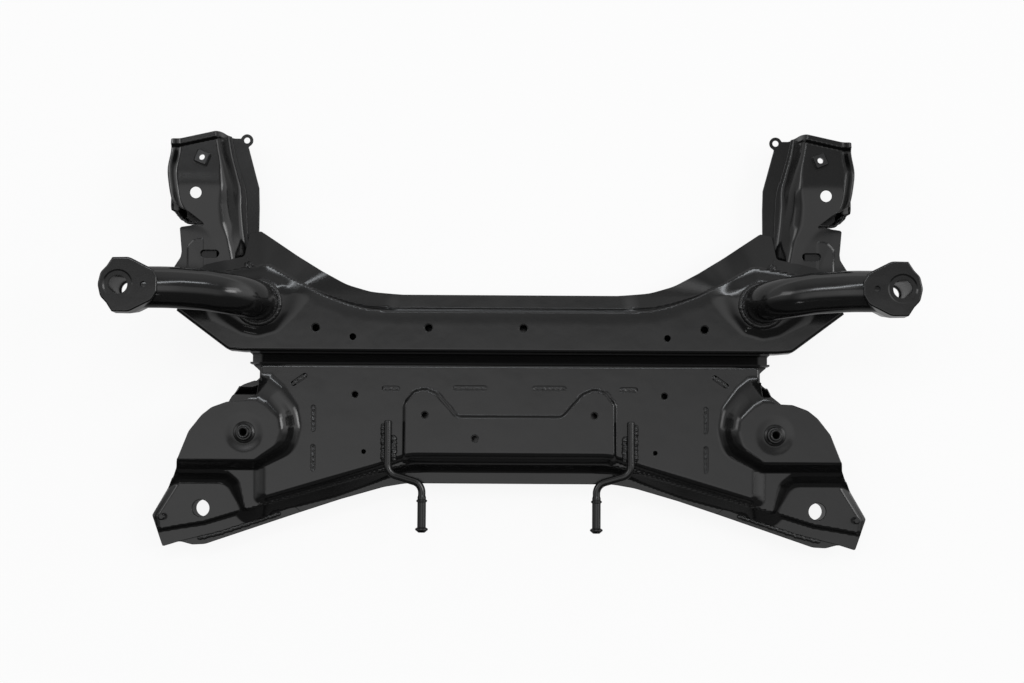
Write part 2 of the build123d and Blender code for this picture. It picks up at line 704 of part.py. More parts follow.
# Exhaust hanger rod: welded flat on the panel, cranked over the rear edge, with a collar and a headed end
rod_z = panel_z + rod_diameter / 2
pin_z = 54.0
collar_y = -181.6
collar_radius, collar_width = 6.1, 3.4
head_radius, head_length = 7.1, 6.0
rod_bend = 13.0
crank_start_y, crank_end_y = -151.3, -162.6
shank_y = collar_y + 6
rod_route = [
    (rod_x, rod_top_y, rod_z), (rod_x, crank_start_y, rod_z), (pin_x, crank_end_y, pin_z), (pin_x, shank_y, pin_z),
]
rod_radius, pin_radius = rod_diameter / 2, pin_diameter / 2
# Turned end of the rod: radius, y
pin_profile = [
    (0, shank_y), (rod_radius, shank_y), (pin_radius, shank_y - 2), (pin_radius, collar_y + collar_width / 2),
    (collar_radius, collar_y + 0.6), (collar_radius, collar_y - 0.6), (pin_radius, collar_y - collar_width / 2),
    (pin_radius, rod_tip_y + head_length), (head_radius, rod_tip_y + head_length - 1.5),
    (head_radius, rod_tip_y + head_length / 2), (head_radius / 2, rod_tip_y), (0, rod_tip_y),
]
with BuildPart() as hanger_rod:
    with BuildLine() as route:
        FilletPolyline(*rod_route, radius=[rod_bend, rod_bend])
    with BuildSketch(Plane(route.line @ 0, z_dir=route.line % 0)):
        Circle(rod_radius)
    sweep(path=route.line)
    fillet(faces().sort_by(Axis.Y)[-1].edges(), radius=1.5)
    with BuildSketch(Plane.XY.offset(pin_z)):
        with BuildLine() as line:
            Polyline(*[(pin_x + radius, y) for radius, y in pin_profile], close=True)
        make_face(line.edges())
    revolve(axis=Axis((pin_x, 0, pin_z), (0, 1, 0)))
write_pair(hanger_rod.part, "hanger_rod")

# Weld beads that hold each rod down: side, y of both ends, width
hanger_beads = [(1, -95.0, -139.0, 6.0), (-1, -108.0, -138.0, 8.5)]
bead_height = 5.2
with BuildPart() as hanger_welds:
    for side, front, rear, width in hanger_beads:
        with BuildSketch(Plane.XZ.offset(-front)):
            bead = [(0, 0), (width, 0), (width - 1, 1.5), (rod_radius, bead_height), (0, bead_height)]
            with BuildLine() as line:
                Polyline(*[(rod_x + side * across, panel_z + up) for across, up in bead], close=True)
            make_face(line.edges())
        extrude(amount=front - rear)
    with BuildSketch(Plane.XZ.offset(-rod_top_y)):
        with Locations((rod_x, rod_z)):
            Circle(rod_radius)
    extrude(amount=rod_top_y - crank_start_y, mode=Mode.SUBTRACT)
write_pair(hanger_welds.part, "hanger_welds")

# Plug welds, lying in the rear top sheet's slots on the flanges below
with BuildPart() as slot_welds:
    with BuildSketch(Plane.XY.offset(panel_z - sheet)):
        for x, y, length, turn in plug_welds:
            with Locations(Location((x, y), turn), Location((-x, y), -turn)):
                SlotOverall(length - 2 * plug_clearance, plug_width - 2 * plug_clearance)
    extrude(amount=sheet - plug_depth)
write(slot_welds.part, "slot_welds")

# Seam welds along the upper sheet's edge on each leg's flange
seam_line = [(352, -225.6), (326, -219.2), (258, -196.6)]
seam_width, seam_height = 3.2, 2.0
with BuildPart() as flange_seam_weld:
    with BuildSketch(Plane.XY.offset(joint_z)):
        with BuildLine() as line:
            Polyline(*seam_line)
        trace(line.edges(), line_width=seam_width)
    extrude(amount=seam_height)
write_pair(flange_seam_weld.part, "flange_seam_weld")

# Ring welds round the arm tubes' feet
ring_width, ring_height = 4.5, 4.5
with BuildPart() as tube_foot_welds:
    with BuildSketch(Plane.XZ.offset(-foot_y)):
        with BuildLine() as line:
            edge_x = foot_x + tube_diameter / 2
            Polyline(
                (edge_x, boss_z), (edge_x + ring_width, boss_z), (edge_x + ring_width - 1, boss_z + 1.8),
                (edge_x + 1.6, boss_z + ring_height - 0.8), (edge_x, boss_z + ring_height), close=True,
            )
        make_face(line.edges())
    revolve(axis=Axis((foot_x, foot_y, 0), (0, 0, 1)))
    mirror(tube_foot_welds.part, about=Plane.YZ)
write(tube_foot_welds.part, "tube_foot_welds")

# Weld beads between each horn and the front sheet's flange: x, y, length, turn
base_beads = [(291.5, 105.0, 20.0, 100.0), (282.0, 97.5, 14.0, -25.0)]
with BuildPart() as tower_base_welds:
    with BuildSketch(Plane.XY.offset(joint_z + sheet)):
        for x, y, length, turn in base_beads:
            with Locations(Location((x, y), turn), Location((-x, y), -turn)):
                SlotOverall(length, 8)
    extrude(amount=3.5, taper=25)
write(tower_base_welds.part, "tower_base_welds")

# Pocket bulkheads: webs with a flange under the plug welds
bulkhead_line = [(214.5, -150), (214.5, -64), (240, -41)]
flange_line = [(220, -150), (220, -60.5), (243, -40)]
flange_width = 13.0
with BuildPart() as pocket_bulkhead:
    for run, width, low, high in (
        (bulkhead_line, sheet, sheet, panel_z - sheet),
        (flange_line, flange_width, panel_z - 2 * sheet, panel_z - sheet),
        (flange_line, flange_width, sheet, 2 * sheet),
    ):
        with BuildSketch(Plane.XY.offset(low)):
            with BuildLine() as line:
                Polyline(*run)
            trace(line.edges(), line_width=width)
        extrude(amount=high - low)
write_pair(pocket_bulkhead.part, "pocket_bulkhead")

# Cross stiffener under the transverse plug welds
stiffener_length = 312.0
stiffener_flange_y = -56.0
web_y = stiffener_flange_y - flange_width / 2 + sheet / 2
with BuildPart() as cross_stiffener:
    for y, width, low, high in (
        (web_y, sheet, sheet, panel_z - sheet),
        (stiffener_flange_y, flange_width, panel_z - 2 * sheet, panel_z - sheet),
        (stiffener_flange_y, flange_width, sheet, 2 * sheet),
    ):
        with BuildSketch(Plane.XY.offset(low)):
            with Locations((0, y)):
                Rectangle(stiffener_length, width)
        extrude(amount=high - low)
write(cross_stiffener.part, "cross_stiffener")


def weld_nuts(holes, across, thread, high):
    """Hexagonal weld nuts hanging under a top sheet."""
    with BuildPart() as nuts:
        with BuildSketch(Plane.XY.offset(high - nut_height)):
            for x, y, diameter in holes:
                with Locations((x, y)):
                    RegularPolygon(across / 2, 6, major_radius=False)
                    Circle(thread / 2, mode=Mode.SUBTRACT)
        extrude(amount=nut_height)
    return nuts.part


write(weld_nuts(rack_holes, 17, 8.5, panel_z - sheet), "rack_weld_nuts")
write(weld_nuts(shield_holes, 13, 6.8, panel_z - sheet), "shield_weld_nuts")
write(weld_nuts(plateau_holes, 13, 6.8, plateau_z - sheet), "plateau_weld_nuts")
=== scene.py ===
import json
import math

import bpy
import numpy as np
from mathutils import Matrix, Vector


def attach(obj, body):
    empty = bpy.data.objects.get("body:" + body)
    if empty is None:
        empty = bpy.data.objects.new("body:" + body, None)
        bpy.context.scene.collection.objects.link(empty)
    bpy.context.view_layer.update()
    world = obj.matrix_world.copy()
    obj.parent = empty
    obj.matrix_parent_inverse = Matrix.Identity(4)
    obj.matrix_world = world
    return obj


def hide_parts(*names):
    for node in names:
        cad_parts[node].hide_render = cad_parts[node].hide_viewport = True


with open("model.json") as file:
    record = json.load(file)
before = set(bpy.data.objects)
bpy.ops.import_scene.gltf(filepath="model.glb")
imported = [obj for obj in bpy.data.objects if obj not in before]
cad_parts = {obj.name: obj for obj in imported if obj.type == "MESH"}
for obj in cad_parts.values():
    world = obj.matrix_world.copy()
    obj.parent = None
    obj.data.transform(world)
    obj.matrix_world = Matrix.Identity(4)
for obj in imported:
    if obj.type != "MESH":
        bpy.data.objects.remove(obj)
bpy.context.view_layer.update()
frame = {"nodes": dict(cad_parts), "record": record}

# Shapes are worked out in millimetres: +X the right-hand side, +Y the front, +Z up
MM = 0.001

# Camera: straight above, leaning a little towards the front of the part, as in the photograph
camera_height = 2.46
camera_x, camera_y = 0.0022, -0.1636
camera_tilt = math.radians(3.84)
camera_roll = math.radians(0.35)
sensor_width = 36.0
focal_pixels, image_width = 2143.0, 1024

# Floor: its colour, its glow to the eye and the glow's share, its brightness in reflections at the middle,
# its half width and its drop below the part
floor_white = 0.9
floor_glow = 1.0
floor_share = 0.9
floor_reflected = 0.32
floor_side = 6.0
floor_drop = 0.0005

# World: its levels of light straight overhead, over the rest of the sky, at its darkest, in the band ahead on
# the left, at both sides and in front, and the share of light that the left loses
overhead_light, sky_light, dim_light = 0.84, 0.22, 0.1
band_light, side_light, front_light = 1.4, 0.8, 0.35
left_loss = 0.3

# Softboxes: name, place, width, height, brightness, colour, turn in degrees about the way they face
softboxes = [
    ("front_strip", (-0.05, 2.18, 4.5), 3.2, 0.42, 8.0, (0.92, 0.96, 1), 26.0),
    ("right_core", (3.1, 0.5, 3.5), 0.9, 1.6, 4.5, (1, 1, 1), 0.0),
    ("right_wide", (3.4, 1.4, 3.0), 1.5, 2.0, 2.2, (1, 1, 1), 0.0),
    ("left_wide", (-3.4, 1.3, 3.0), 1.3, 1.8, 1.6, (1, 1, 1), 0.0),
    ("rear_strip", (-1.7, -4.2, 4.3), 0.9, 0.35, 4.0, (1, 1, 1), 0.0),
]

# Sheets: thickness, rounding of their edges, size of the grids' cells and radius of a folded edge
sheet = 2.6
rim = 0.7
panel_cell = 1.7
underside_cell = 2.6
fold_radius = 4.0

# Levels above the underside
joint_z = 28.0
flange_z = joint_z + sheet
leg_z = 36.0
ridge_z = 50.0
panel_z = 58.0
plateau_z, plateau_lean = 62.2, 6.4
boss_z = 63.5
dome_z = 76.0
seat_z = 20.0

# Shallow forms: the front flat's droop before its slope, and the dish round each bush nut
crown_reach, crown_drop = 16.0, 0.45
dish_depth, dish_start, dish_width = 0.9, 12.0, 11.0

# Edges of the gap over the centre channel, and how far out it is dark
gap_front_y, gap_rear_y = -14.6, -28.6
gap_end_x = 283.0

# Holes of the upper sheets: x, y, diameter
rack_holes = [(218.7, 12.2, 9.6), (-218.7, 12.2, 9.6), (-91.6, 12.6, 9.6), (15.1, 12.6, 9.6)]
front_small_holes = [(176.8, 2.0, 7.2), (-176.8, 2.0, 7.2)]
shield_holes = [(173.6, -62.9, 7.6), (-173.6, -62.9, 7.6)]
plateau_holes = [(94.9, -85.5, 8.2), (-94.9, -85.5, 8.2), (-38.8, -111.8, 8.4)]
rear_small_holes = [(163.3, -126.9, 5.0), (-163.3, -126.9, 5.0)]

# Arm tubes and their mounts
tube_diameter, tube_wall = 45.0, 2.5
foot_x, foot_y = 283.0, 39.5
arm_line = [
    (404, 48.2, 148.5, 0), (368, 48.2, 148.5, 110), (332, 46.4, 140.5, 110), (foot_x, foot_y, 127.5, 52),
    (foot_x, foot_y, sheet, 0),
]
bush_x, bush_y = 295.2, -106.6
leg_x, leg_y = 347.8, -191.3
leg_hole = 19.6
bush_bolt_hole = 13.0
horn_bolt_x, horn_bolt_y, horn_bolt_hole = 355.3, 163.7, 13.0
horn_nut_x, horn_nut_y, horn_nut_hole = 348.1, 203.1, 8.5
rod_x = 136.0

# Plug weld slots of the right-hand half: x, y, length, turn
plug_welds = [
    (236.5, -46.5, 21.0, -35.0), (220.0, -90.0, 30.0, 90.0), (220.0, -134.0, 30.0, 90.0),
    (133.5, -56.0, 20.0, 0.0), (44.5, -55.0, 38.0, 0.0),
]
plug_width, plug_gap, plug_depth = 5.2, 1.0, 1.5


# Paints: roughness, then the depth of the orange peel and of the waves in metres
paint_looks = {
    "sheet_paint": (0.145, 0.00002, 0.00025),
    "tube_paint": (0.14, 0.00002, 0.00010),
    "weld_paint": (0.26, 0.00006, 0.00010),
    "fastener_paint": (0.28, 0.00003, 0.00005),
}
channel_look = (0.3, 0.00002, 0.0001)
dust_colour = (0.05, 0.05, 0.049, 1)

# Weld beads: distance between the rings of points, and the pitches of the ripples
bead_spacing = 0.45
bead_pitches = (2.1, 5.3, 9.7, 17.0)


def unit(vectors):
    """Vectors along the last axis at length one."""
    return vectors / np.maximum(np.linalg.norm(vectors, axis=-1, keepdims=True), 1e-12)


def rounded(corners, closed=True, arc_step=6.0):
    """A line through corners (x, y[, z], radius) with each corner replaced by an arc of its radius."""
    places = [np.array(corner[:-1], float) for corner in corners]
    points = []
    for i, here in enumerate(places):
        radius = corners[i][-1]
        ends = not closed and i in (0, len(places) - 1)
        coming = unit(places[i - 1] - here)
        going = unit(places[(i + 1) % len(places)] - here)
        half = 0.5 * math.acos(max(-1.0, min(1.0, float(coming @ going))))
        if ends or radius < 0.05 or half > math.radians(89.8):
            points.append(here)
            continue
        reach = radius / math.tan(half)
        centre = here + unit(coming + going) * radius / math.sin(half)
        first = here + coming * reach - centre
        last = here + going * reach - centre
        turn = math.pi - 2 * half
        steps = max(2, math.ceil(math.degrees(turn) / arc_step))
        for k in range(steps + 1):
            part = k / steps
            spoke = first * math.sin((1 - part) * turn) + last * math.sin(part * turn)
            points.append(centre + spoke / math.sin(turn))
    return np.array(points)


class Outline:
    """A closed line of straight runs and rounded corners, and its mirror image on the left-hand side."""

    def __init__(self, corners):
        self.start = rounded(corners)
        self.end = np.roll(self.start, -1, axis=0)

    def distance(self, x, y):
        """Distance from the line, positive inside it."""
        x = np.abs(x)
        nearest = np.full(x.shape, np.inf)
        inside = np.zeros(x.shape, bool)
        for (ax, ay), (bx, by) in zip(self.start, self.end):
            dx, dy = bx - ax, by - ay
            along = np.clip(((x - ax) * dx + (y - ay) * dy) / (dx * dx + dy * dy), 0, 1)
            nearest = np.minimum(nearest, (x - ax - along * dx) ** 2 + (y - ay - along * dy) ** 2)
            if dy:
                inside ^= ((ay > y) != (by > y)) & (x < ax + (y - ay) * dx / dy)
        return np.where(inside, 1, -1) * np.sqrt(nearest)


def half(corners, reach=-90.0):
    """The outline of a right-hand half, carried on past the middle so that it ends nowhere near it."""
    return Outline(corners + [(reach, corners[-1][1], 1), (reach, corners[0][1], 1)])


def smooth_max(a, b, soft):
    """The larger value, with the corner between the two filled over a height of soft."""
    gap = np.maximum(soft - np.abs(a - b), 0)
    return np.maximum(a, b) + gap * gap / (4 * soft)


def smooth_min(a, b, soft):
    """The smaller value, with the corner between the two rounded off."""
    return -smooth_max(-a, -b, soft)


def slope(x, y, foot, top, low, high):
    """Height of the slope from a foot line at low to a top line at high, going on past both lines."""
    inside = foot.distance(x, y)
    width = np.maximum(inside - top.distance(x, y), 0.5)
    return low + (high - low) * inside / width


def smooth_step(value):
    """0 below 0, 1 above 1, and a soft curve between."""
    value = np.clip(value, 0, 1)
    return value * value * (3 - 2 * value)


def slot_distance(x, y, place):
    """Distance from a slot's middle line: x, y, length, turn and width of the slot."""
    cx, cy, length, turn, width = place
    angle = math.radians(turn)
    along = (x - cx) * math.cos(angle) + (y - cy) * math.sin(angle)
    across = (y - cy) * math.cos(angle) - (x - cx) * math.sin(angle)
    past = np.maximum(np.abs(along) - (length - width) / 2, 0)
    return np.hypot(past, across) - width / 2


def trimmed_grid(field, low, high, cell):
    """A grid of square cells cut to where a field is positive: its corners and its faces.

    The field is the distance from the sheet's edge. Corners near the edge move onto it, along the
    field's steepest way, and cells with three corners left become triangles.
    """
    counts = [max(2, int(round((b - a) / cell))) + 1 for a, b in zip(low, high)]
    x, y = np.meshgrid(*[np.linspace(a, b, n) for a, b, n in zip(low, high, counts)], indexing="ij")
    value = field(x, y)
    near = np.where(value >= 0, value < 0.35 * cell, -value < 0.65 * cell)
    kept = (value >= 0) | near
    px, py = x[near], y[near]
    for _ in range(3):
        here = field(px, py)
        grad_x = (field(px + 0.05, py) - field(px - 0.05, py)) / 0.1
        grad_y = (field(px, py + 0.05) - field(px, py - 0.05)) / 0.1
        size = np.maximum(grad_x ** 2 + grad_y ** 2, 0.2)
        px, py = px - here * grad_x / size, py - here * grad_y / size
    x[near], y[near] = px, py

    number = np.arange(x.size).reshape(x.shape)
    corners = [number[:-1, :-1], number[1:, :-1], number[1:, 1:], number[:-1, 1:]]
    quads = np.stack([c.ravel() for c in corners], axis=1)
    good = kept.ravel()[quads]
    faces = quads[good.all(axis=1)]
    faces = [tuple(face) for face in faces.tolist()]
    for row, mask in zip(quads[good.sum(axis=1) == 3], good[good.sum(axis=1) == 3]):
        faces.append(tuple(row[mask].tolist()))
    used = np.unique([corner for face in faces for corner in face])
    place = np.full(x.size, -1)
    place[used] = np.arange(used.size)
    faces = [tuple(int(place[c]) for c in face) for face in faces]
    return x.ravel()[used], y.ravel()[used], faces


def boundary(faces):
    """The edges that belong to one face only, each from its first corner to its second."""
    edges = {}
    for face in faces:
        for a, b in zip(face, face[1:] + face[:1]):
            edges[(a, b)] = True
    return [(a, b) for a, b in edges if (b, a) not in edges]


def normals_of(height, x, y):
    """Upward normals of a height over the plane."""
    step = 0.25
    tilt_x = (height(x + step, y) - height(x - step, y)) / (2 * step)
    tilt_y = (height(x, y + step) - height(x, y - step)) / (2 * step)
    return unit(np.stack([-tilt_x, -tilt_y, np.ones_like(tilt_x)], axis=-1))


def folded(points, normals, faces, fold, depth_to, radius=fold_radius):
    """Adds the edge that is turned down along a fold line.

    Five steps make a quarter round, and three more a straight wall down to a level.
    """
    x, y = points[:, 0], points[:, 1]
    on_line = np.abs(fold.distance(x, y) - radius) < 0.2
    edges = [(a, b) for a, b in boundary(faces) if on_line[a] and on_line[b]]
    first = sorted({corner for edge in edges for corner in edge})
    order = {corner: i for i, corner in enumerate(first)}
    px, py = x[first], y[first]
    inward = np.stack([
        (fold.distance(px + 0.1, py) - fold.distance(px - 0.1, py)) / 0.2,
        (fold.distance(px, py + 0.1) - fold.distance(px, py - 0.1)) / 0.2,
        np.zeros_like(px),
    ], axis=-1)
    inward = unit(inward)
    start, lean = points[first], normals[first]
    rows = [np.array(first)]
    points, normals, faces = [points], [normals], list(faces)
    total = len(points[0])
    wall = start[:, 2] - radius - depth_to
    for step in range(1, 9):
        if step <= 5:
            angle = step * math.pi / 10
            out, down = radius * math.sin(angle), radius * (1 - math.cos(angle))
            facing = -inward * math.sin(angle) + lean * math.cos(angle)
        else:
            out, down = radius, radius + wall * (step - 5) / 3
            facing = -inward
        row = start - inward * out
        row[:, 2] -= down
        rows.append(total + np.arange(len(first)))
        points.append(row)
        normals.append(unit(facing))
        total += len(first)
    for upper, lower in zip(rows, rows[1:]):
        for a, b in edges:
            i, j = order[a], order[b]
            faces.append((int(upper[j]), int(upper[i]), int(lower[i]), int(lower[j])))
    return np.concatenate(points), np.concatenate(normals), faces


def thickened(points, normals, faces, thickness, edge=rim):
    """Gives a sheet its thickness below, with its edges rounded over."""
    edges = boundary(faces)
    count = len(points)
    outward = np.zeros_like(points)
    for a, b in edges:
        side = np.cross(points[b] - points[a], normals[a])
        side /= max(np.linalg.norm(side), 1e-9)
        outward[a] += side
        outward[b] += side
    ring = sorted({corner for pair in edges for corner in pair})
    order = {corner: i for i, corner in enumerate(ring)}
    top, up, out = points[ring], normals[ring], unit(outward[ring])
    profile = [(0.7 * edge, 0.3 * edge, 1, 1), (edge, edge, 1, 0), (edge, thickness - edge, 1, 0)]
    profile.append((0.7 * edge, thickness - 0.3 * edge, 1, -1))
    all_points = [points, points - normals * thickness]
    all_normals = [normals, -normals]
    rows = [np.array(ring)]
    total = 2 * count
    for reach, down, side, rise in profile:
        all_points.append(top + out * reach - up * down)
        all_normals.append(unit(out * side + up * rise))
        rows.append(total + np.arange(len(ring)))
        total += len(ring)
    rows.append(np.array(ring) + count)
    result = list(faces) + [tuple(c + count for c in reversed(face)) for face in faces]
    for upper, lower in zip(rows, rows[1:]):
        for a, b in edges:
            i, j = order[a], order[b]
            result.append((int(upper[j]), int(upper[i]), int(lower[i]), int(lower[j])))
    return np.concatenate(all_points), np.concatenate(all_normals), result


def piece(name, points, normals, faces, paint, slot, nodes):
    """Makes an object from points in millimetres and rides it on the part."""
    mesh = bpy.data.meshes.new(name)
    mesh.from_pydata((points * MM).tolist(), [], faces)
    mesh.update()
    mesh.shade_smooth()
    if normals is not None:
        mesh.normals_split_custom_set_from_vertices(normals.tolist())
    mesh.materials.append(paint)
    body = bpy.data.objects.new(name, mesh)
    bpy.context.scene.collection.objects.link(body)
    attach(body, "root")
    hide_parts(*nodes)


def mirrored(points, normals, faces):
    """The same surface on the left-hand side."""
    flip = np.array([-1.0, 1.0, 1.0])
    facing = None if normals is None else normals * flip
    return points * flip, facing, [tuple(reversed(face)) for face in faces]


# Outlines of the right-hand half, as x, y, corner radius
front_flange = [
    (122, 52.2, 60), (158, 54.6, 60), (185, 62, 60), (212, 76.5, 60), (240, 94, 40),
    (283.5, 123, 3), (297, 121, 3), (301, 93, 4), (345, 84, 6), (368, 64, 6), (374.5, 29.5, 3),
]
front_top = [
    (128, 31, 70), (160, 33.6, 70), (181, 38.8, 70), (208, 48.6, 70), (238, 63.2, 50),
    (273, 83, 8), (300, 79, 10), (345, 70, 12), (369, 51, 12), (420, 29.5, 3), (420, -60, 3),
]
front_foot = [
    (127, 37.4, 76), (158, 39.8, 76), (178.5, 44.9, 76), (205, 54.6, 76), (235, 69.2, 56),
    (272, 90, 12), (301, 85.5, 14), (346, 76.5, 16), (370, 56, 14), (428, 29.5, 3), (428, -68, 3),
]
boss_foot = [
    (333, 25, 10), (301, 7, 18), (284, 3.5, 18), (263, 9.5, 14), (246, 28, 20),
    (231, 53, 9), (244, 63, 10), (277, 79, 12), (318, 72, 16), (352, 52, 12),
]
boss_top = [
    (322, 31, 8), (301, 14.5, 14), (285, 10.5, 14), (268, 15, 12), (257, 31, 12),
    (253, 50, 9), (258, 58, 8), (280, 66, 10), (308, 62, 12), (330, 47, 10),
]
front_fold = [(374.5, 29.5, 3), (317.5, -13, 8), (300, gap_front_y, 8)]
mouth_edge = [
    (281, -46, 1), (282, -64, 3), (298.7, -71.8, 6), (314.8, -72.5, 8), (331.9, -78.7, 14),
    (342.9, -87.5, 14), (357, -105.5, 14), (370, -138.7, 6), (375, -149.7, 3),
]
leg_edge = [(375, -149.7, 3), (403.6, -199.4, 4)]
upper_rear_flange = [
    (391, -234.64, 1.5), (372.4, -228.9, 4), (362, -226.3, 6), (326, -217.5, 30), (249, -191.8, 5),
    (241, -190, 4), (235.5, -195.1, 2), (191.3, -180.5, 60), (142.1, -166.3, 60), (117, -162.0, 60),
]
rear_flange = [
    (391, -234.64, 1.5), (372.4, -228.6, 14), (358, -232.6, 12), (343.5, -231.8, 14),
    (240.1, -196.6, 60), (191.3, -180.5, 60), (142.1, -166.3, 60), (117, -162.0, 60),
]
base_top = [
    (340, 40, 2), (340, -52, 4), (362, -100, 10), (386, -149.6, 3), (317, -149.6, 10),
    (304, -160, 14), (296.5, -192.5, 3), (201, -165.0, 60), (149.5, -149.4, 60), (113, -140.2, 60),
]
base_foot = [
    (348, 40, 2), (348, -52, 4), (370, -100, 10), (394, -169, 3), (324, -169, 14),
    (318, -175, 14), (300.5, -196.5, 3), (202.5, -171.0, 60), (151, -156.4, 60), (114, -147.0, 60),
]
rear_top = [
    (300, 40, 2), (300, -80, 4), (276, -142, 8), (275.5, -179, 5),
    (200.4, -156.6, 60), (149, -141.6, 60), (113.6, -129.4, 60),
]
rear_foot = [
    (310, 40, 2), (310, -80, 4), (286, -142, 8), (285.5, -187.5, 7),
    (201.5, -163.4, 60), (150, -147.4, 60), (114.2, -135.0, 60),
]
dome_foot = [
    (430, -37, 1), (266, -37, 4), (250, -52, 14), (234, -76, 22), (229.5, -101, 26),
    (237, -130, 26), (275, -147, 14), (430, -147, 1),
]
dome_top = [
    (430, -64, 1), (280, -64, 6), (270, -70, 9), (254.5, -86, 16), (251.5, -104, 18),
    (257, -121, 18), (283, -138.3, 10), (430, -138.3, 1),
]
leg_top = [
    (285, -140, 1), (366, -140, 1), (366, -150, 3), (397, -200, 4), (394, -215.2, 3),
    (374, -211.3, 30), (344, -206.3, 30), (291, -190, 3),
]
leg_foot = [
    (285, -140, 1), (375, -140, 1), (375, -150, 3), (403.6, -199.4, 4), (400, -219.8, 3),
    (374.5, -215.2, 30), (344, -210.5, 30), (289, -194, 3),
]
plateau_foot = [
    (58, -85.5, 9), (80, -60.5, 14), (94, -54.5, 14), (108, -57.5, 14), (119.5, -72, 14), (120, -140, 3),
]
plateau_top = [
    (60, -89.5, 12), (83, -64, 12), (94, -59, 11), (105.5, -61, 11), (115.5, -74, 11), (116, -135, 8),
]


def front_panel():
    """The front upper sheet: flange, slope, flat, the boss round each tube's foot, and the folded rear edge.

    The height is the larger of the flange's level and the slope, which is cut off at the flat's level, and
    then the larger of that and the boss, with the corners between them rounded.
    """
    flange = half(front_flange + [(430, 0, 1), (430, -70, 1)])
    fold = half([(430, 190, 1), (430, 71, 1)] + front_fold)
    foot, top = half(front_foot), half(front_top)
    boss = Outline(boss_foot), Outline(boss_top)

    def height(x, y):
        form = smooth_min(slope(x, y, foot, top, joint_z, panel_z), panel_z, 5.0)
        form = smooth_max(np.full(x.shape, flange_z), form, 1.8)
        raised = smooth_min(slope(x, y, *boss, panel_z, boss_z), boss_z, 3.5)
        crown = np.clip(1 - top.distance(x, y) / crown_reach, 0, 1) ** 2 * crown_drop
        crown = crown * smooth_step((form - flange_z) / (panel_z - 1.0 - flange_z))
        return smooth_max(form - crown, raised, 3.0)

    def field(x, y):
        inside = np.minimum(flange.distance(x, y) - rim, fold.distance(x, y) - fold_radius)
        for cx, cy, size in rack_holes + front_small_holes:
            inside = np.minimum(inside, np.hypot(x - cx, y - cy) - size / 2 - rim)
        return np.minimum(inside, np.hypot(np.abs(x) - foot_x, y - foot_y) - tube_diameter / 2 - rim)

    x, y, faces = trimmed_grid(field, (-375.7, gap_front_y), (375.7, 123.25), panel_cell)
    points = np.stack([x, y, height(x, y)], axis=-1)
    normals = normals_of(height, x, y)
    return thickened(*folded(points, normals, faces, fold, joint_z + rim), sheet)


def rear_panel():
    """The rear upper sheet: flat, ridge, flange, plateau, the two domes and the two legs.

    Each form is a slope between its foot line and its top line, cut off at its level. The height is the
    largest of them, with the corners between them rounded. The plateau is added before the domes are joined,
    and the dishes are taken off.
    """
    cut = half([(281, 30, 1)] + mouth_edge + leg_edge[1:] + upper_rear_flange)
    fold = half([(281, gap_rear_y, 5), (281, -47, 0.5), (600, -47, 1), (600, -400, 1), (0, -400, 1)])
    ridge = half(base_foot), half(base_top)
    rear = half(rear_foot), half(rear_top)
    plateau = half(plateau_foot), half(plateau_top)
    dome = Outline(dome_foot), Outline(dome_top)
    leg = Outline(leg_foot), Outline(leg_top)

    def height(x, y):
        base = smooth_min(slope(x, y, *ridge, joint_z, ridge_z), ridge_z, 2.2)
        form = smooth_max(np.full(x.shape, flange_z), base, 4.0)
        feet = smooth_min(slope(x, y, *leg, joint_z, leg_z), leg_z, 3.0)
        form = smooth_max(form, feet, 4.0)
        flat = smooth_min(slope(x, y, *rear, ridge_z, panel_z), panel_z, 4.0)
        form = smooth_max(form, flat, 1.6)
        rise = smooth_min(slope(x, y, *plateau, 0, plateau_lean), plateau_z - panel_z, 0.9)
        form = form + smooth_max(rise, np.zeros(x.shape), 0.5)
        form = smooth_max(form, smooth_min(slope(x, y, *dome, ridge_z, dome_z), dome_z, 7.0), 6.0)
        reach = np.hypot(np.abs(x) - bush_x, y - bush_y)
        return form - dish_depth * (1 - smooth_step((reach - dish_start) / dish_width))

    def field(x, y):
        across = np.abs(x)
        inside = np.minimum(cut.distance(x, y) - rim, fold.distance(x, y) - fold_radius)
        for cx, cy, size in shield_holes + plateau_holes + rear_small_holes:
            inside = np.minimum(inside, np.hypot(x - cx, y - cy) - size / 2 - rim)
        for cx, cy, size in ((bush_x, bush_y, bush_bolt_hole), (leg_x, leg_y, leg_hole)):
            inside = np.minimum(inside, np.hypot(across - cx, y - cy) - size / 2 - rim)
        for place in plug_welds:
            inside = np.minimum(inside, slot_distance(across, y, place + (plug_width,)) - rim)
        return inside

    x, y, faces = trimmed_grid(field, (-404.6, -235.45), (404.6, gap_rear_y), panel_cell)
    points = np.stack([x, y, height(x, y)], axis=-1)
    normals = normals_of(height, x, y)
    return thickened(*folded(points, normals, faces, fold, joint_z + rim), sheet)


# Outlines of the lower sheet: rear mouth, the lip that shows behind the left dome, and the floor's wall
lower_mouth = [(300, -60, 8), (316, -72.8, 8), (343, -88, 14), (357, -105.5, 14), (370, -138.7, 6)]
left_lip_edge = [
    (283, -60, 1), (284, -47, 2), (290, -46.4, 6), (302.6, -50.9, 8), (318.5, -62.5, 10),
    (332, -86, 4), (300, -90, 1),
]
tray_top = [
    (128, 38.5, 60), (160, 41.2, 60), (180, 46.5, 60), (207, 57.5, 60), (246, 80, 40), (286, 101, 14),
    (330, 74, 14), (357, 52, 12), (360, 30, 10), (309, -9, 12), (268, -26, 8), (268, -44, 6), (290, -52, 6),
    (440, -52, 2), (440, -149, 2), (364, -149, 4), (391, -201, 8), (375, -216, 12), (344, -211.5, 20),
    (290, -194, 60), (201.5, -169.5, 60), (150, -155.5, 60), (113.6, -147.4, 60),
]
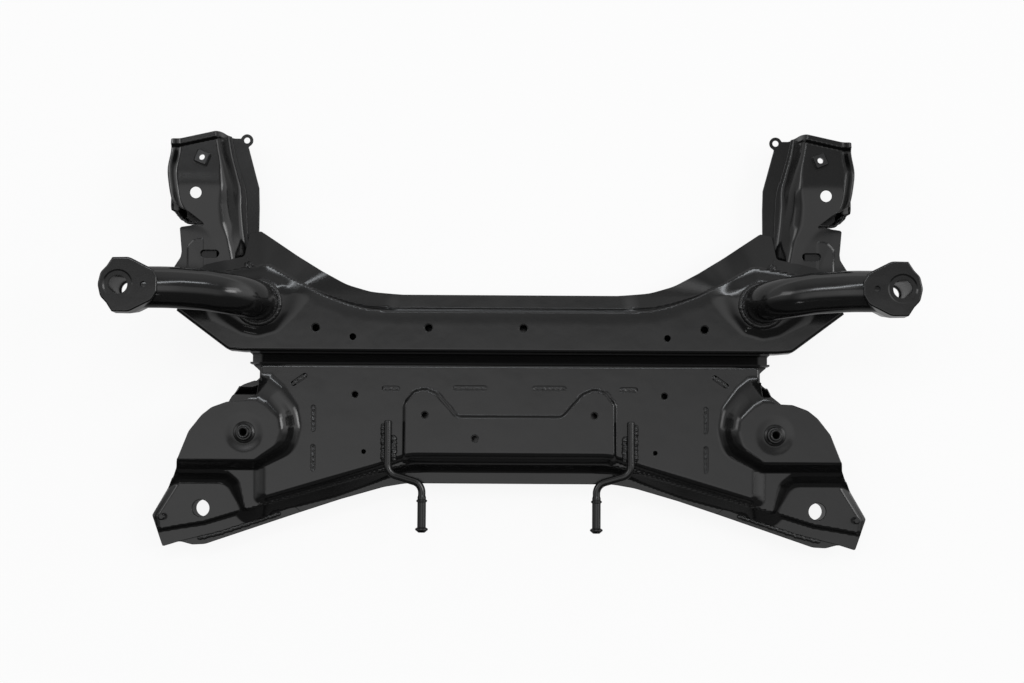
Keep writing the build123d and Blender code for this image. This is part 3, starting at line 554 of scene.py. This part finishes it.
drain_holes = [(200.0, 20.0), (120.0, -105.0), (60.0, 5.0), (330.0, -175.0)]
drain_radius = 7.0
tray_wall_width = 5.0
seat_radius, seat_lean = 32.0, 3.7


def lower_panel():
    """The lower sheet: a flange all round, a flat floor and a raised seat under each rear bush.

    The wall falls evenly from the flange to the floor, inside the line of its top. The seat is a cone that is
    cut flat.
    """
    gap_edge = [(317.5, -13, 5), (292, gap_front_y, 3), (292, gap_rear_y, 3), (284, -35, 3), (284, -47, 4)]
    edge = half(front_flange + gap_edge + lower_mouth + leg_edge + rear_flange)
    tray = half(tray_top)
    left_lip = Outline(left_lip_edge)

    def height(x, y):
        wall = joint_z - (tray.distance(x, y) - sheet) * (joint_z - sheet) / tray_wall_width
        form = smooth_min(np.maximum(wall, sheet - 6), np.full(x.shape, joint_z), 3.0)
        form = smooth_max(form, np.full(x.shape, sheet), 3.0)
        reach = np.hypot(np.abs(x) - bush_x, y - bush_y)
        seat = smooth_min((seat_radius - reach) * seat_lean, np.full(x.shape, seat_z), 4.0)
        return smooth_max(form, seat, 3.0)

    def field(x, y):
        across = np.abs(x)
        inside = edge.distance(x, y) - rim
        inside = np.where(x < 0, np.maximum(inside, left_lip.distance(x, y) - rim), inside)
        for cx, cy in drain_holes:
            inside = np.minimum(inside, np.hypot(across - cx, y - cy) - drain_radius - rim)
        for cx, cy, size in ((bush_x, bush_y, bush_bolt_hole), (leg_x, leg_y, leg_hole)):
            inside = np.minimum(inside, np.hypot(across - cx, y - cy) - size / 2 - rim)
        return inside

    x, y, faces = trimmed_grid(field, (-404.6, -236.6), (404.6, 123.4), underside_cell)
    points = np.stack([x, y, height(x, y)], axis=-1)
    return thickened(points, normals_of(height, x, y), faces, sheet)


# Upper sheet of the right-hand horn: y, flange edge, groove, inner and outer edge of the flat, its level,
# then place and level of the lip's two points
strip_z = joint_z + 3 * sheet
shell_stations = np.array([
    (70, 297, 301.5, 312, 328, 50, 350, 48.8, 382, 48.8),
    (88.5, 297, 301.5, 314, 328, 50.8, 352, 49.2, 382, 49),
    (108, 298, 303, 318, 334, 52.5, 360, 51.4, 380, 51),
    (128, 299.5, 306, 322, 350, 56.2, 368, 55.4, 376, 55),
    (150, 300.4, 308.5, 323.5, 372, 60, 376.4, 67, 379.5, 68.5),
    (172, 302.5, 310, 321.5, 377, 62, 381.3, 70, 384, 71),
    (188, 307.5, 314.5, 323.0, 378.5, 62, 382.8, 70, 385.5, 71),
    (210, 314, 320.5, 328.0, 375, 62, 379.3, 70, 382, 71),
    (238, 320, 325.5, 332, 374, 62, 378.3, 70, 381, 71),
])
shell_outline = [
    (290, 231, 1), (318, 231, 4), (327, 234.5, 5), (386, 221.4, 2), (396, 216, 1), (396, 152, 1),
    (376, 150, 2), (362, 141, 8), (349, 131, 3), (345, 127, 1.2), (355, 127.5, 3), (374, 125, 2),
    (372, 98, 8), (373, 92, 6), (382, 78, 2), (352, 72, 3), (340, 84, 3), (290, 84, 1),
]
plate_contour = [(346, 70, 2), (346, 114, 3), (358, 112, 8), (366, 104, 8), (366, 70, 2)]
base_slot = (340, 95.5, 21, 0, 8)
horn_cell = 1.25
plate_rise = 0.7
rim_rise, rim_width = 5.0, 9.0
rim_point, rim_facing = (327, 234.5), (0.2167, 0.9762)


def station_values(y):
    """The horn's section values at y, by a smooth cubic curve between the stations."""
    places, values = shell_stations[:, 0], shell_stations[:, 1:]
    slopes = np.gradient(values, places, axis=0)
    i = np.clip(np.searchsorted(places, y) - 1, 0, len(places) - 2)
    run = places[i + 1] - places[i]
    t = np.clip((y - places[i]) / run, -0.3, 1.3)[..., None]
    run = run[..., None]
    a, b = values[i], values[i + 1]
    return (
        a + t * t * (3 - 2 * t) * (b - a)
        + run * t * (1 - t) * ((1 - t) * slopes[i] - t * slopes[i + 1])
    )


def soft_ramp(value, soft):
    """0 below 0 and the value itself above, with the corner rounded over soft on each side."""
    return np.where(np.abs(value) < soft, (value + soft) ** 2 / (4 * soft), np.maximum(value, 0))


def horn_shell():
    """The horn's upper sheet: flange, steep inner slope, flat, raised outer lip and raised front rim.

    At each y the height over x is a line through the section's knots with its bends rounded over. The bend
    from the slope to the flat is softest at mid length. The rim is added where the front edge is near.
    """
    outline, contour = Outline(shell_outline), Outline(plate_contour)

    def height(x, y):
        v = np.moveaxis(station_values(y), -1, 0)
        edge, groove, inner, outer, level, lip_x, lip_z, end_x, end_z = v
        knots = [(groove, strip_z), (inner, level), (outer, level), (lip_x, lip_z), (end_x, end_z)]
        form, before = np.full(x.shape, strip_z), 0.0
        turn = 3.5 + 4.5 * smooth_step((208 - y) / 34) * smooth_step((y - 112) / 20)
        for (here_x, here_z), (next_x, next_z), soft in zip(knots, knots[1:], (3.0, turn, 3.0, 2.0)):
            lean = (next_z - here_z) / (next_x - here_x)
            form = form + (lean - before) * soft_ramp(x - here_x, soft)
            before = lean
        behind = -((x - rim_point[0]) * rim_facing[0] + (y - rim_point[1]) * rim_facing[1])
        across = smooth_step((x - 322) / 8) * smooth_step((y - 180) / 10)
        form = form + plate_rise * smooth_step(contour.distance(x, y) / 1.5)
        return form + rim_rise * across * smooth_step((rim_width - behind) / 3.4)

    def field(x, y):
        v = np.moveaxis(station_values(y), -1, 0)
        inside = np.minimum(outline.distance(x, y), np.minimum(x - v[0], v[7] - x)) - rim
        for cx, cy, size in (
            (horn_bolt_x, horn_bolt_y, horn_bolt_hole), (horn_nut_x, horn_nut_y, horn_nut_hole),
        ):
            inside = np.minimum(inside, np.hypot(x - cx, y - cy) - size / 2 - rim)
        return np.minimum(inside, slot_distance(x, y, base_slot) - rim)

    x, y, faces = trimmed_grid(field, (296, 71), (396, 235), horn_cell)
    points = np.stack([x, y, height(x, y)], axis=-1)
    return thickened(points, normals_of(height, x, y), faces, sheet)


# Lower sheet of the right-hand horn: y, wall's top and foot on the inner side, the floor's outer edge, the
# outer wall's top and its level
horn_floor = 10.6
wall_lean = 11.0
front_wall_z, rear_wall_z = 57.0, 44.0
tray_stations = np.array([
    (60, 303.5, 308, 329, 333.5, 43), (130, 307, 312, 329, 333.5, 43), (131, 307, 312, 372, 381, 45),
    (150, 309.5, 315, 374, 383, 47), (172, 311, 316, 372, 381.5, 55), (188, 315.5, 320, 371, 381, 58),
    (210, 321.5, 326, 369, 378, 58), (238, 327, 331, 369, 377.5, 58),
])
horn_tray_outline = [
    (302.6, 229.8, 1), (316, 229.8, 4), (326, 232.6, 5), (382.5, 220, 3), (396, 214, 1), (396, 158, 1),
    (387, 150.5, 4), (374.8, 136.2, 6), (367.5, 131, 5), (333.5, 131, 1), (333.5, 90, 1), (303, 90, 2),
    (299.5, 93, 4), (292, 96, 4), (286.5, 116, 8), (286.3, 150, 4), (287, 172.8, 2),
]
eyelet_x, eyelet_y, eyelet_radius, eyelet_hole = 301.8, 227.7, 6.4, 3.5
sight_shift, sight_length, sight_width = 4, 39, 27


def horn_tray():
    """The horn's lower sheet: flange strip with its eyelet, walls, and a floor with long holes.

    The height falls in straight lines from the strip to the floor and climbs to the outer wall's top. The end
    walls climb from the floor towards the outline.
    """
    outline = Outline(horn_tray_outline)

    def height(x, y):
        values = [np.interp(y, tray_stations[:, 0], tray_stations[:, k]) for k in range(1, 6)]
        wall, inner, outer, lip, lip_z = values
        form = strip_z - sheet + (horn_floor - strip_z + sheet) * np.clip((x - wall) / (inner - wall), 0, 1)
        form = form + (lip_z - horn_floor) * np.clip((x - outer) / (lip - outer), 0, 1)
        inside = outline.distance(x, y)
        ends = np.where(y > 190, front_wall_z, rear_wall_z) - wall_lean * np.maximum(inside - 1.5, 0)
        walled = (x > wall + 4) & ((y > 190) | (x > 334))
        return np.where(walled, np.maximum(form, ends), form)

    def field(x, y):
        inside = outline.distance(x, y) - rim
        inside = np.minimum(inside, np.interp(y, tray_stations[:, 0], tray_stations[:, 4]) - x)
        inside = np.maximum(inside, eyelet_radius - np.hypot(x - eyelet_x, y - eyelet_y))
        inside = np.minimum(inside, np.hypot(x - eyelet_x, y - eyelet_y) - eyelet_hole - rim)
        for cx, cy in ((horn_bolt_x, horn_bolt_y), (horn_nut_x, horn_nut_y)):
            place = (cx + sight_shift, cy + sight_shift, sight_length, 45, sight_width)
            inside = np.minimum(inside, slot_distance(x, y, place) - rim)
        return inside

    x, y, faces = trimmed_grid(field, (285, 89), (386, 235), horn_cell)
    points = np.stack([x, y, height(x, y)], axis=-1)
    return thickened(points, normals_of(height, x, y), faces, sheet)


def lathe(cx, cy, profile, sides=96):
    """A turned piece: a closed outline of radius and level, carried round an upright line."""
    profile = np.array(profile, float)
    turn = np.linspace(0, 2 * math.pi, sides, endpoint=False)
    x = cx + profile[:, None, 0] * np.cos(turn)
    y = cy + profile[:, None, 0] * np.sin(turn)
    z = np.broadcast_to(profile[:, None, 1], x.shape)
    faces = []
    for i in range(len(profile)):
        after = (i + 1) % len(profile)
        for k in range(sides):
            a, b = i * sides + k, i * sides + (k + 1) % sides
            faces.append((a, b, after * sides + (k + 1) % sides, after * sides + k))
    return np.stack([x, y, z], axis=-1).reshape(-1, 3), None, faces


def tube(corners, outer, inner, sides=72):
    """A pipe along a line of rounded corners, its ends closed by flat rings."""
    line = rounded(corners, closed=False, arc_step=2.0)
    steps = unit(np.diff(line, axis=0))
    way = unit(np.concatenate([steps[:1], steps[:-1] + steps[1:], steps[-1:]]))
    side = unit(np.cross(way, [0, 1, 0]))
    up = np.cross(side, way)
    angle = np.linspace(0, 2 * math.pi, sides, endpoint=False)
    spokes = side[:, None] * np.cos(angle)[:, None] + up[:, None] * np.sin(angle)[:, None]
    count = len(line)
    points, normals, faces = [], [], []

    def skin(radii, facing, turned):
        start = sum(len(block) for block in points)
        rings = [line[i] + spokes[i] * radius for i, radius in radii]
        points.append(np.concatenate(rings))
        normals.append(np.concatenate([facing(i) for i, radius in radii]))
        for ring in range(len(radii) - 1):
            for k in range(sides):
                a, b = start + ring * sides + k, start + ring * sides + (k + 1) % sides
                face = (a, a + sides, b + sides, b)
                faces.append(face if turned else face[::-1])

    skin([(i, outer) for i in range(count)], lambda i: spokes[i], True)
    skin([(i, inner) for i in range(count)], lambda i: -spokes[i], False)
    bore = count * sides
    for k in range(sides):
        after = (k + 1) % sides
        faces.append((k, after, bore + after, bore + k))
        start = (count - 1) * sides
        faces.append((start + after, start + k, bore + start + k, bore + start + after))
    return np.concatenate(points), np.concatenate(normals), faces


def bead(line, width, height, closed=False, seed=1.0, rough=0.12, sides=16):
    """A weld bead along a line: a round or oval string with crescent ripples, thinner at its open ends.

    Its size is one plus sines of the way along it, whose pitches divide its length evenly, and the finest of
    them lags behind at the bead's sides. Open ends close like half an ellipse.
    """
    line = np.asarray(line, float)
    ends = np.concatenate([line, line[:1]]) if closed else line
    lengths = np.concatenate([[0], np.cumsum(np.linalg.norm(np.diff(ends, axis=0), axis=1))])
    count = max(8, int(lengths[-1] / bead_spacing))
    place = np.linspace(0, lengths[-1], count, endpoint=not closed)
    path = np.stack([np.interp(place, lengths, ends[:, k]) for k in range(3)], axis=-1)
    if closed:
        way = unit(np.roll(path, -1, axis=0) - np.roll(path, 1, axis=0))
    else:
        way = unit(np.gradient(path, axis=0))
    side = unit(np.cross(way, [0, 0, 1]))
    up = np.cross(side, way)
    angle = np.linspace(0, 2 * math.pi, sides, endpoint=False)[None, :]
    s = place[:, None]
    turns = 2 * math.pi / lengths[-1]
    whole = [round(lengths[-1] / pitch) for pitch in bead_pitches]
    crescent = s - 0.55 * width * np.cos(angle) ** 2
    swell = rough * np.sin(turns * whole[0] * crescent + 1.3 * np.sin(turns * whole[1] * s + seed))
    swell = swell + 0.7 * rough * np.sin(turns * whole[1] * s + 2 * seed + 1.5 * np.cos(angle))
    swell = swell + 0.8 * rough * np.sin(turns * whole[2] * s + 3 * seed) * np.cos(angle + seed)
    swell = swell + 0.6 * rough * np.sin(turns * whole[3] * s + 5 * seed)
    size = 1 + swell
    if not closed:
        from_end = np.minimum(place, lengths[-1] - place)
        tip = 1 - np.clip(from_end / (0.6 * width), 0, 1)
        size = size * np.sqrt(np.clip(1 - tip ** 2, 0.002, 1))[:, None]
    points = (
        path[:, None] + side[:, None] * (np.cos(angle) * size * width / 2)[..., None]
        + up[:, None] * (np.sin(angle) * size * height)[..., None]
    ).reshape(-1, 3)
    faces = []
    for ring in range(count if closed else count - 1):
        for k in range(sides):
            a, b = ring * sides + k, ring * sides + (k + 1) % sides
            after = ((ring + 1) % count) * sides
            faces.append((a, after + k, after + (k + 1) % sides, b))
    if not closed:
        faces.append(tuple(range(sides)))
        faces.append(tuple(reversed(range((count - 1) * sides, count * sides))))
    return points, None, faces


def joined(parts):
    """Several surfaces as one."""
    points = np.concatenate([part[0] for part in parts])
    normals = None if parts[0][1] is None else np.concatenate([part[1] for part in parts])
    faces, start = [], 0
    for part in parts:
        faces += [tuple(corner + start for corner in face) for face in part[2]]
        start += len(part[0])
    return points, normals, faces


def pair(surface):
    """A surface and its mirror image as one."""
    return joined([surface, mirrored(*surface)])


def ring(cx, cy, z, radius):
    """A level circle of points."""
    turn = np.linspace(0, 2 * math.pi, 180, endpoint=False)
    return np.stack([cx + radius * np.cos(turn), cy + radius * np.sin(turn), np.full(turn.shape, z)], axis=-1)


def slot_fill(place, seed):
    """The lumpy weld that fills a slot, a little below the sheet's face.

    Its height is a sum of sines along the slot, and falls with the square of the distance from its middle
    line.
    """
    cx, cy, length, turn = place
    size = place + (plug_width - 2 * plug_gap,)
    angle = math.radians(turn)

    def height(x, y):
        along = (x - cx) * math.cos(angle) + (y - cy) * math.sin(angle)
        across = (y - cy) * math.cos(angle) - (x - cx) * math.sin(angle)
        wave = np.sin(1.05 * along + seed + 0.9 * np.cos(1.1 * across))
        wave = wave + 0.7 * np.sin(0.47 * along + 3 * seed)
        wave = wave + 0.5 * np.sin(2.4 * along + 1.7 * across + 5 * seed)
        return panel_z - plug_depth + 0.26 * wave - 0.05 * across ** 2

    reach = length / 2 + 1
    x, y, faces = trimmed_grid(
        lambda x, y: -slot_distance(x, y, size) - 0.2, (cx - reach, cy - reach), (cx + reach, cy + reach), 0.7
    )
    points = np.stack([x, y, height(x, y)], axis=-1)
    return thickened(points, normals_of(height, x, y), faces, 1.4, 0.2)


class Wire:
    """One output socket of a node; sums and products of it add Math nodes."""

    def __init__(self, nodes, socket):
        self.nodes, self.socket = nodes, socket

    def math(self, operation, *values):
        return self.nodes.make("ShaderNodeMath", {"operation": operation}, dict(enumerate(values)))

    def __add__(self, other):
        return self.math("ADD", self, other)

    def __mul__(self, other):
        return self.math("MULTIPLY", self, other)

    def __sub__(self, other):
        return self.math("SUBTRACT", self, other)

    def __rsub__(self, other):
        return self.math("SUBTRACT", other, self)

    def __truediv__(self, other):
        return self.math("DIVIDE", self, other)

    def clamp(self, low=0.0, high=1.0):
        return self.nodes.make("ShaderNodeClamp", {}, {0: self, 1: low, 2: high})

    def output(self, name):
        """Another output of the same node."""
        return Wire(self.nodes, self.socket.node.outputs[name])

    def seen(self):
        """Of a Light Path node: 1 where the ray shows the background itself, by eye or through glass."""
        return (self.output("Is Camera Ray") + self.output("Is Transmission Ray")).clamp()

    __radd__ = __add__
    __rmul__ = __mul__


class Nodes:
    """The node tree of a material or world."""

    def __init__(self, owner):
        owner.use_nodes = True
        self.tree = owner.node_tree
        self.tree.nodes.clear()

    def make(self, kind, settings=None, inputs=None, output=0):
        """Adds a node: its settings first, then the values or links of its sockets."""
        node = self.tree.nodes.new(kind)
        for key, value in (settings or {}).items():
            setattr(node, key, value)
        for key, value in (inputs or {}).items():
            if isinstance(value, Wire):
                self.tree.links.new(value.socket, node.inputs[key])
            else:
                node.inputs[key].default_value = value
        return Wire(self, node.outputs[output]) if node.outputs else None

    def noise(self, place, scale, detail=2.0, roughness=0.5):
        """Smooth noise from 0 to 1."""
        look = {"Vector": place, "Scale": scale, "Detail": detail, "Roughness": roughness}
        return self.make("ShaderNodeTexNoise", {}, look)


def black_paint(name, gloss, peel, wave, shade=0.0035, painted_shade_share=None):
    """Black dip paint: cloudy gloss, faint waves, a fine orange peel and sparse specks of dust.

    The last argument takes the place's X in metres and gives the share there of painted shade: a rough,
    almost lightless paint that darkens the surface where shade falls.
    """
    material = bpy.data.materials.new(name)
    nodes = Nodes(material)
    place = nodes.make("ShaderNodeTexCoord", output=3)
    clouds = nodes.noise(place, 9.0, 4.0, 0.6)
    swells = nodes.noise(place, 30.0, 2.0, 0.4)
    grain = nodes.noise(place, 420.0, 3.0, 0.6)
    fine = nodes.noise(place, 1500.0, 2.0, 0.7)
    specks = nodes.make("ShaderNodeTexVoronoi", {}, {"Vector": place, "Scale": 160.0})
    dust = ((0.10 - specks) * 14.0).clamp() * clouds
    colour = nodes.make(
        "ShaderNodeMix", {"data_type": "RGBA"},
        {0: (dust * 0.35 + grain * 0.10).clamp(), 6: (shade, shade, shade * 1.04, 1), 7: dust_colour},
        output=2,
    )
    rough = gloss + (clouds - 0.5) * 0.07 + (grain - 0.5) * 0.04 + dust * 0.2
    slow = nodes.make("ShaderNodeBump", {}, {"Strength": 1.0, "Distance": wave, "Height": swells})
    height = grain * 0.7 + fine * 0.3
    bump = nodes.make(
        "ShaderNodeBump", {}, {"Strength": 1.0, "Distance": peel, "Height": height, "Normal": slow}
    )
    shader = nodes.make(
        "ShaderNodeBsdfPrincipled", {},
        {"Base Color": colour, "Roughness": rough.clamp(), "Normal": bump, "IOR": 1.5},
    )
    # Painted shade: where the share is above 0, a rough paint with almost no reflection is mixed in to darken
    # the surface in place of shade.
    if painted_shade_share:
        painted_shade_coat = nodes.make(
            "ShaderNodeBsdfPrincipled", {},
            {"Base Color": colour, "Roughness": 0.6, "Normal": bump, "Specular IOR Level": 0.08},
        )
        part = painted_shade_share(nodes.make("ShaderNodeSeparateXYZ", {}, {0: place}))
        shader = nodes.make("ShaderNodeMixShader", {}, {0: part, 1: shader, 2: painted_shade_coat})
    nodes.make("ShaderNodeOutputMaterial", {}, {"Surface": shader})
    return material


def white_floor():
    """A floor that is white to the eye, and darker towards the left and the rear in reflections."""
    material = bpy.data.materials.new("white_floor")
    nodes = Nodes(material)
    rays = nodes.make("ShaderNodeLightPath")
    glossy, seen = rays.output("Is Glossy Ray"), rays.seen()
    right = nodes.make("ShaderNodeSeparateXYZ", {}, {0: nodes.make("ShaderNodeTexCoord", output=3)})
    reflected = (floor_reflected + right.output("Y") * 0.65 + right * 0.16).clamp()
    matt = nodes.make("ShaderNodeBsdfDiffuse", {}, {"Color": (floor_white, floor_white, floor_white, 1)})
    strength = seen * floor_glow + glossy * reflected * (1 - seen)
    glow = nodes.make("ShaderNodeEmission", {}, {"Color": (1, 1, 1, 1), "Strength": strength})
    shown = (seen * floor_share + glossy).clamp()
    shader = nodes.make("ShaderNodeMixShader", {}, {0: shown, 1: matt, 2: glow})
    nodes.make("ShaderNodeOutputMaterial", {}, {"Surface": shader})
    return material


def studio():
    """World, lamps, floor and camera.

    The world is white to the eye. For the part it is brightest overhead, drops just ahead of overhead and
    fades towards the rear. A band follows further ahead on the left, and both sides and the front glow too.
    """
    world = bpy.data.worlds.new("studio")
    bpy.context.scene.world = world
    nodes = Nodes(world)
    rays = nodes.make("ShaderNodeLightPath")
    right = nodes.make("ShaderNodeSeparateXYZ", {}, {0: nodes.make("ShaderNodeTexCoord")})
    front, up = right.output("Y"), right.output("Z")
    height = up.math("MAXIMUM", up, 0.05)
    across, along = right / height, front / height
    overhead = ((0.105 - along) * 20.0).clamp() * (1.3 - across.math("ABSOLUTE", across) * 1.6).clamp()
    overhead = overhead * (1.0 - across * 1.2).clamp(0.6, 1.3)
    level = dim_light + ((along + 0.65) * 3.0).clamp() * (overhead * overhead_light + sky_light)
    band = ((along - 0.12) * 6.0).clamp() * ((0.6 - along) * 4.0).clamp()
    band = band * (0.45 - across * 3.0).clamp()
    sides = ((right.math("ABSOLUTE", right) - 0.5) * 3.0).clamp() * (front * 2.0 + 0.8).clamp()
    level = level + sides * (side_light + right * 0.25) + band * band_light
    level = level + ((front - 0.45) * 2.5).clamp() * front_light
    level = level * (1.0 - (0 - right * 1.5).clamp() * left_loss)
    strength = rays.seen() + (1 - rays.seen()) * level
    shown = nodes.make("ShaderNodeBackground", {}, {"Color": (1, 1, 1, 1), "Strength": strength})
    nodes.make("ShaderNodeOutputWorld", {}, {"Surface": shown})

    for name, place, width, height, radiance, tint, spin in softboxes:
        lamp = bpy.data.lights.new(name, "AREA")
        lamp.shape, lamp.size, lamp.size_y = "RECTANGLE", width, height
        lamp.energy, lamp.color = radiance * math.pi * width * height, tint
        body = bpy.data.objects.new(name, lamp)
        bpy.context.scene.collection.objects.link(body)
        place = Vector(place)
        facing = place.to_track_quat("Z", "Y").to_matrix().to_4x4()
        body.matrix_world = Matrix.Translation(place) @ facing
        body.matrix_world = body.matrix_world @ Matrix.Rotation(math.radians(spin), 4, "Z")

    side = floor_side
    floor_corners = [(-side, -side, 0), (side, -side, 0), (side, side, 0), (-side, side, 0)]
    floor_mesh = bpy.data.meshes.new("floor")
    floor_mesh.from_pydata(floor_corners, [], [(0, 1, 2, 3)])
    floor = bpy.data.objects.new("floor", floor_mesh)
    floor.location.z = -floor_drop
    bpy.context.scene.collection.objects.link(floor)
    floor_mesh.materials.append(white_floor())

    lens = bpy.data.cameras.new("camera")
    lens.sensor_width = sensor_width
    lens.lens = focal_pixels / image_width * sensor_width
    lens.clip_end = 20
    camera = bpy.data.objects.new("camera", lens)
    bpy.context.scene.collection.objects.link(camera)
    camera.matrix_world = (
        Matrix.Translation((camera_x, camera_y, camera_height))
        @ Matrix.Rotation(camera_tilt, 4, "X")
        @ Matrix.Rotation(camera_roll, 4, "Z")
    )
    bpy.context.scene.camera = camera
    bpy.context.scene.view_settings.view_transform = "Standard"


studio()

paints = {name: black_paint(name, *look) for name, look in paint_looks.items()}
slot_of = {row["node"]: row["material_slot"] for row in frame["record"]["subparts"]}
for name, node in frame["nodes"].items():
    node.data.materials.clear()
    node.data.materials.append(paints[slot_of[name]])


def in_the_gap(place):
    """1 between the two ends of the centre channel, where its recess gets painted shade, from the place's X
    in metres.
    """
    return ((gap_end_x * MM - place.math("ABSOLUTE", place)) * 400.0).clamp()


# The centre channel's recess between its ends gets painted shade: its paint turns rough and almost lightless
# there.
channel_shaded_paint = black_paint("channel_shaded_paint", *channel_look, painted_shade_share=in_the_gap)
frame["nodes"]["centre_channel"].data.materials[0] = channel_shaded_paint


def place_piece(name, surface, slot, node):
    """Adds a piece with the paint of its slot, in place of a node."""
    piece(name, *surface, paints[slot], slot, [node])


def place_both(name, surface, slot, node):
    """Adds a piece on the right-hand side and its mirror image on the left-hand side."""
    place_piece(name + "_right", surface, slot, node + "_right")
    place_piece(name + "_left", mirrored(*surface), slot, node + "_left")


place_piece("front_panel", front_panel(), "sheet_paint", "front_upper_panel")
place_piece("rear_panel", rear_panel(), "sheet_paint", "rear_upper_panel")
place_piece("underside", lower_panel(), "sheet_paint", "lower_panel")
place_both("horn", horn_shell(), "sheet_paint", "tower_shell")
place_both("horn_tray", horn_tray(), "sheet_paint", "tower_tray")

# Bush nut from its foot up the outside to the thread's end and down the bore, as radius and level
bush_nut = lathe(bush_x, bush_y, [
    (0.1, 60.0), (11.6, 60.0), (12.2, dome_z - 2.0), (12.2, dome_z - 0.4), (11.4, dome_z + 0.6),
    (9.8, dome_z + 0.9), (9.2, dome_z + 1.4), (8.8, dome_z + 5.0), (8.1, dome_z + 5.8), (7.0, dome_z + 5.2),
    (6.6, dome_z + 5.4), (6.4, dome_z + 10.2), (5.8, dome_z + 10.9), (4.6, dome_z + 10.6),
    (3.7, dome_z + 9.6), (3.7, 64.0), (0.1, 62.0),
])
place_both("bush_nut", bush_nut, "fastener_paint", "arm_bush_nut")
arm = tube(arm_line, tube_diameter / 2, tube_diameter / 2 - tube_wall)
place_both("arm", arm, "tube_paint", "arm_tube")

foot_line = ring(foot_x, foot_y, boss_z + 0.4, tube_diameter / 2 + 0.9)
foot_ring = bead(foot_line, 7.4, 3.2, closed=True, seed=2.0, rough=0.045)
place_piece("foot_welds", pair(foot_ring), "weld_paint", "tube_foot_welds")
rod_beads = [
    bead([(rod_x + 5.2, -95, panel_z + 0.9), (rod_x + 5.0, -139, panel_z + 0.9)], 6.2, 3.6, seed=1.0),
    bead([(rod_x - 6.0, -108, panel_z + 0.6), (rod_x - 5.8, -138, panel_z + 0.6)], 8.2, 3.4, seed=4.0),
]
place_both("rod_welds", joined(rod_beads), "weld_paint", "hanger_welds")
seam_z = flange_z - 0.8
seam = bead([(352, -225.6, seam_z), (326, -219.2, seam_z), (258, -196.6, seam_z)], 5.0, 2.0, seed=6.0)
place_both("seam", seam, "weld_paint", "flange_seam_weld")
hook = [(282, 102, 32), (276, 100, 33), (273, 94, 34), (276, 89, 34), (282, 88, 36)]
base = [
    bead(hook, 7.0, 4.0, seed=3.0, rough=0.22),
    bead([(301, 86, 50), (292, 90, 45), (284, 94, 35)], 11.0, 4.0, seed=7.0, rough=0.26),
    bead([(299, 79, 57), (290, 83, 51), (281, 86, 40)], 9.0, 3.6, seed=5.0, rough=0.26),
]
place_piece("base_welds", pair(joined(base)), "weld_paint", "tower_base_welds")
fills = [slot_fill(place, 1.7 * i + 1) for i, place in enumerate(plug_welds)]
place_piece("plug_welds", pair(joined(fills)), "weld_paint", "slot_welds")
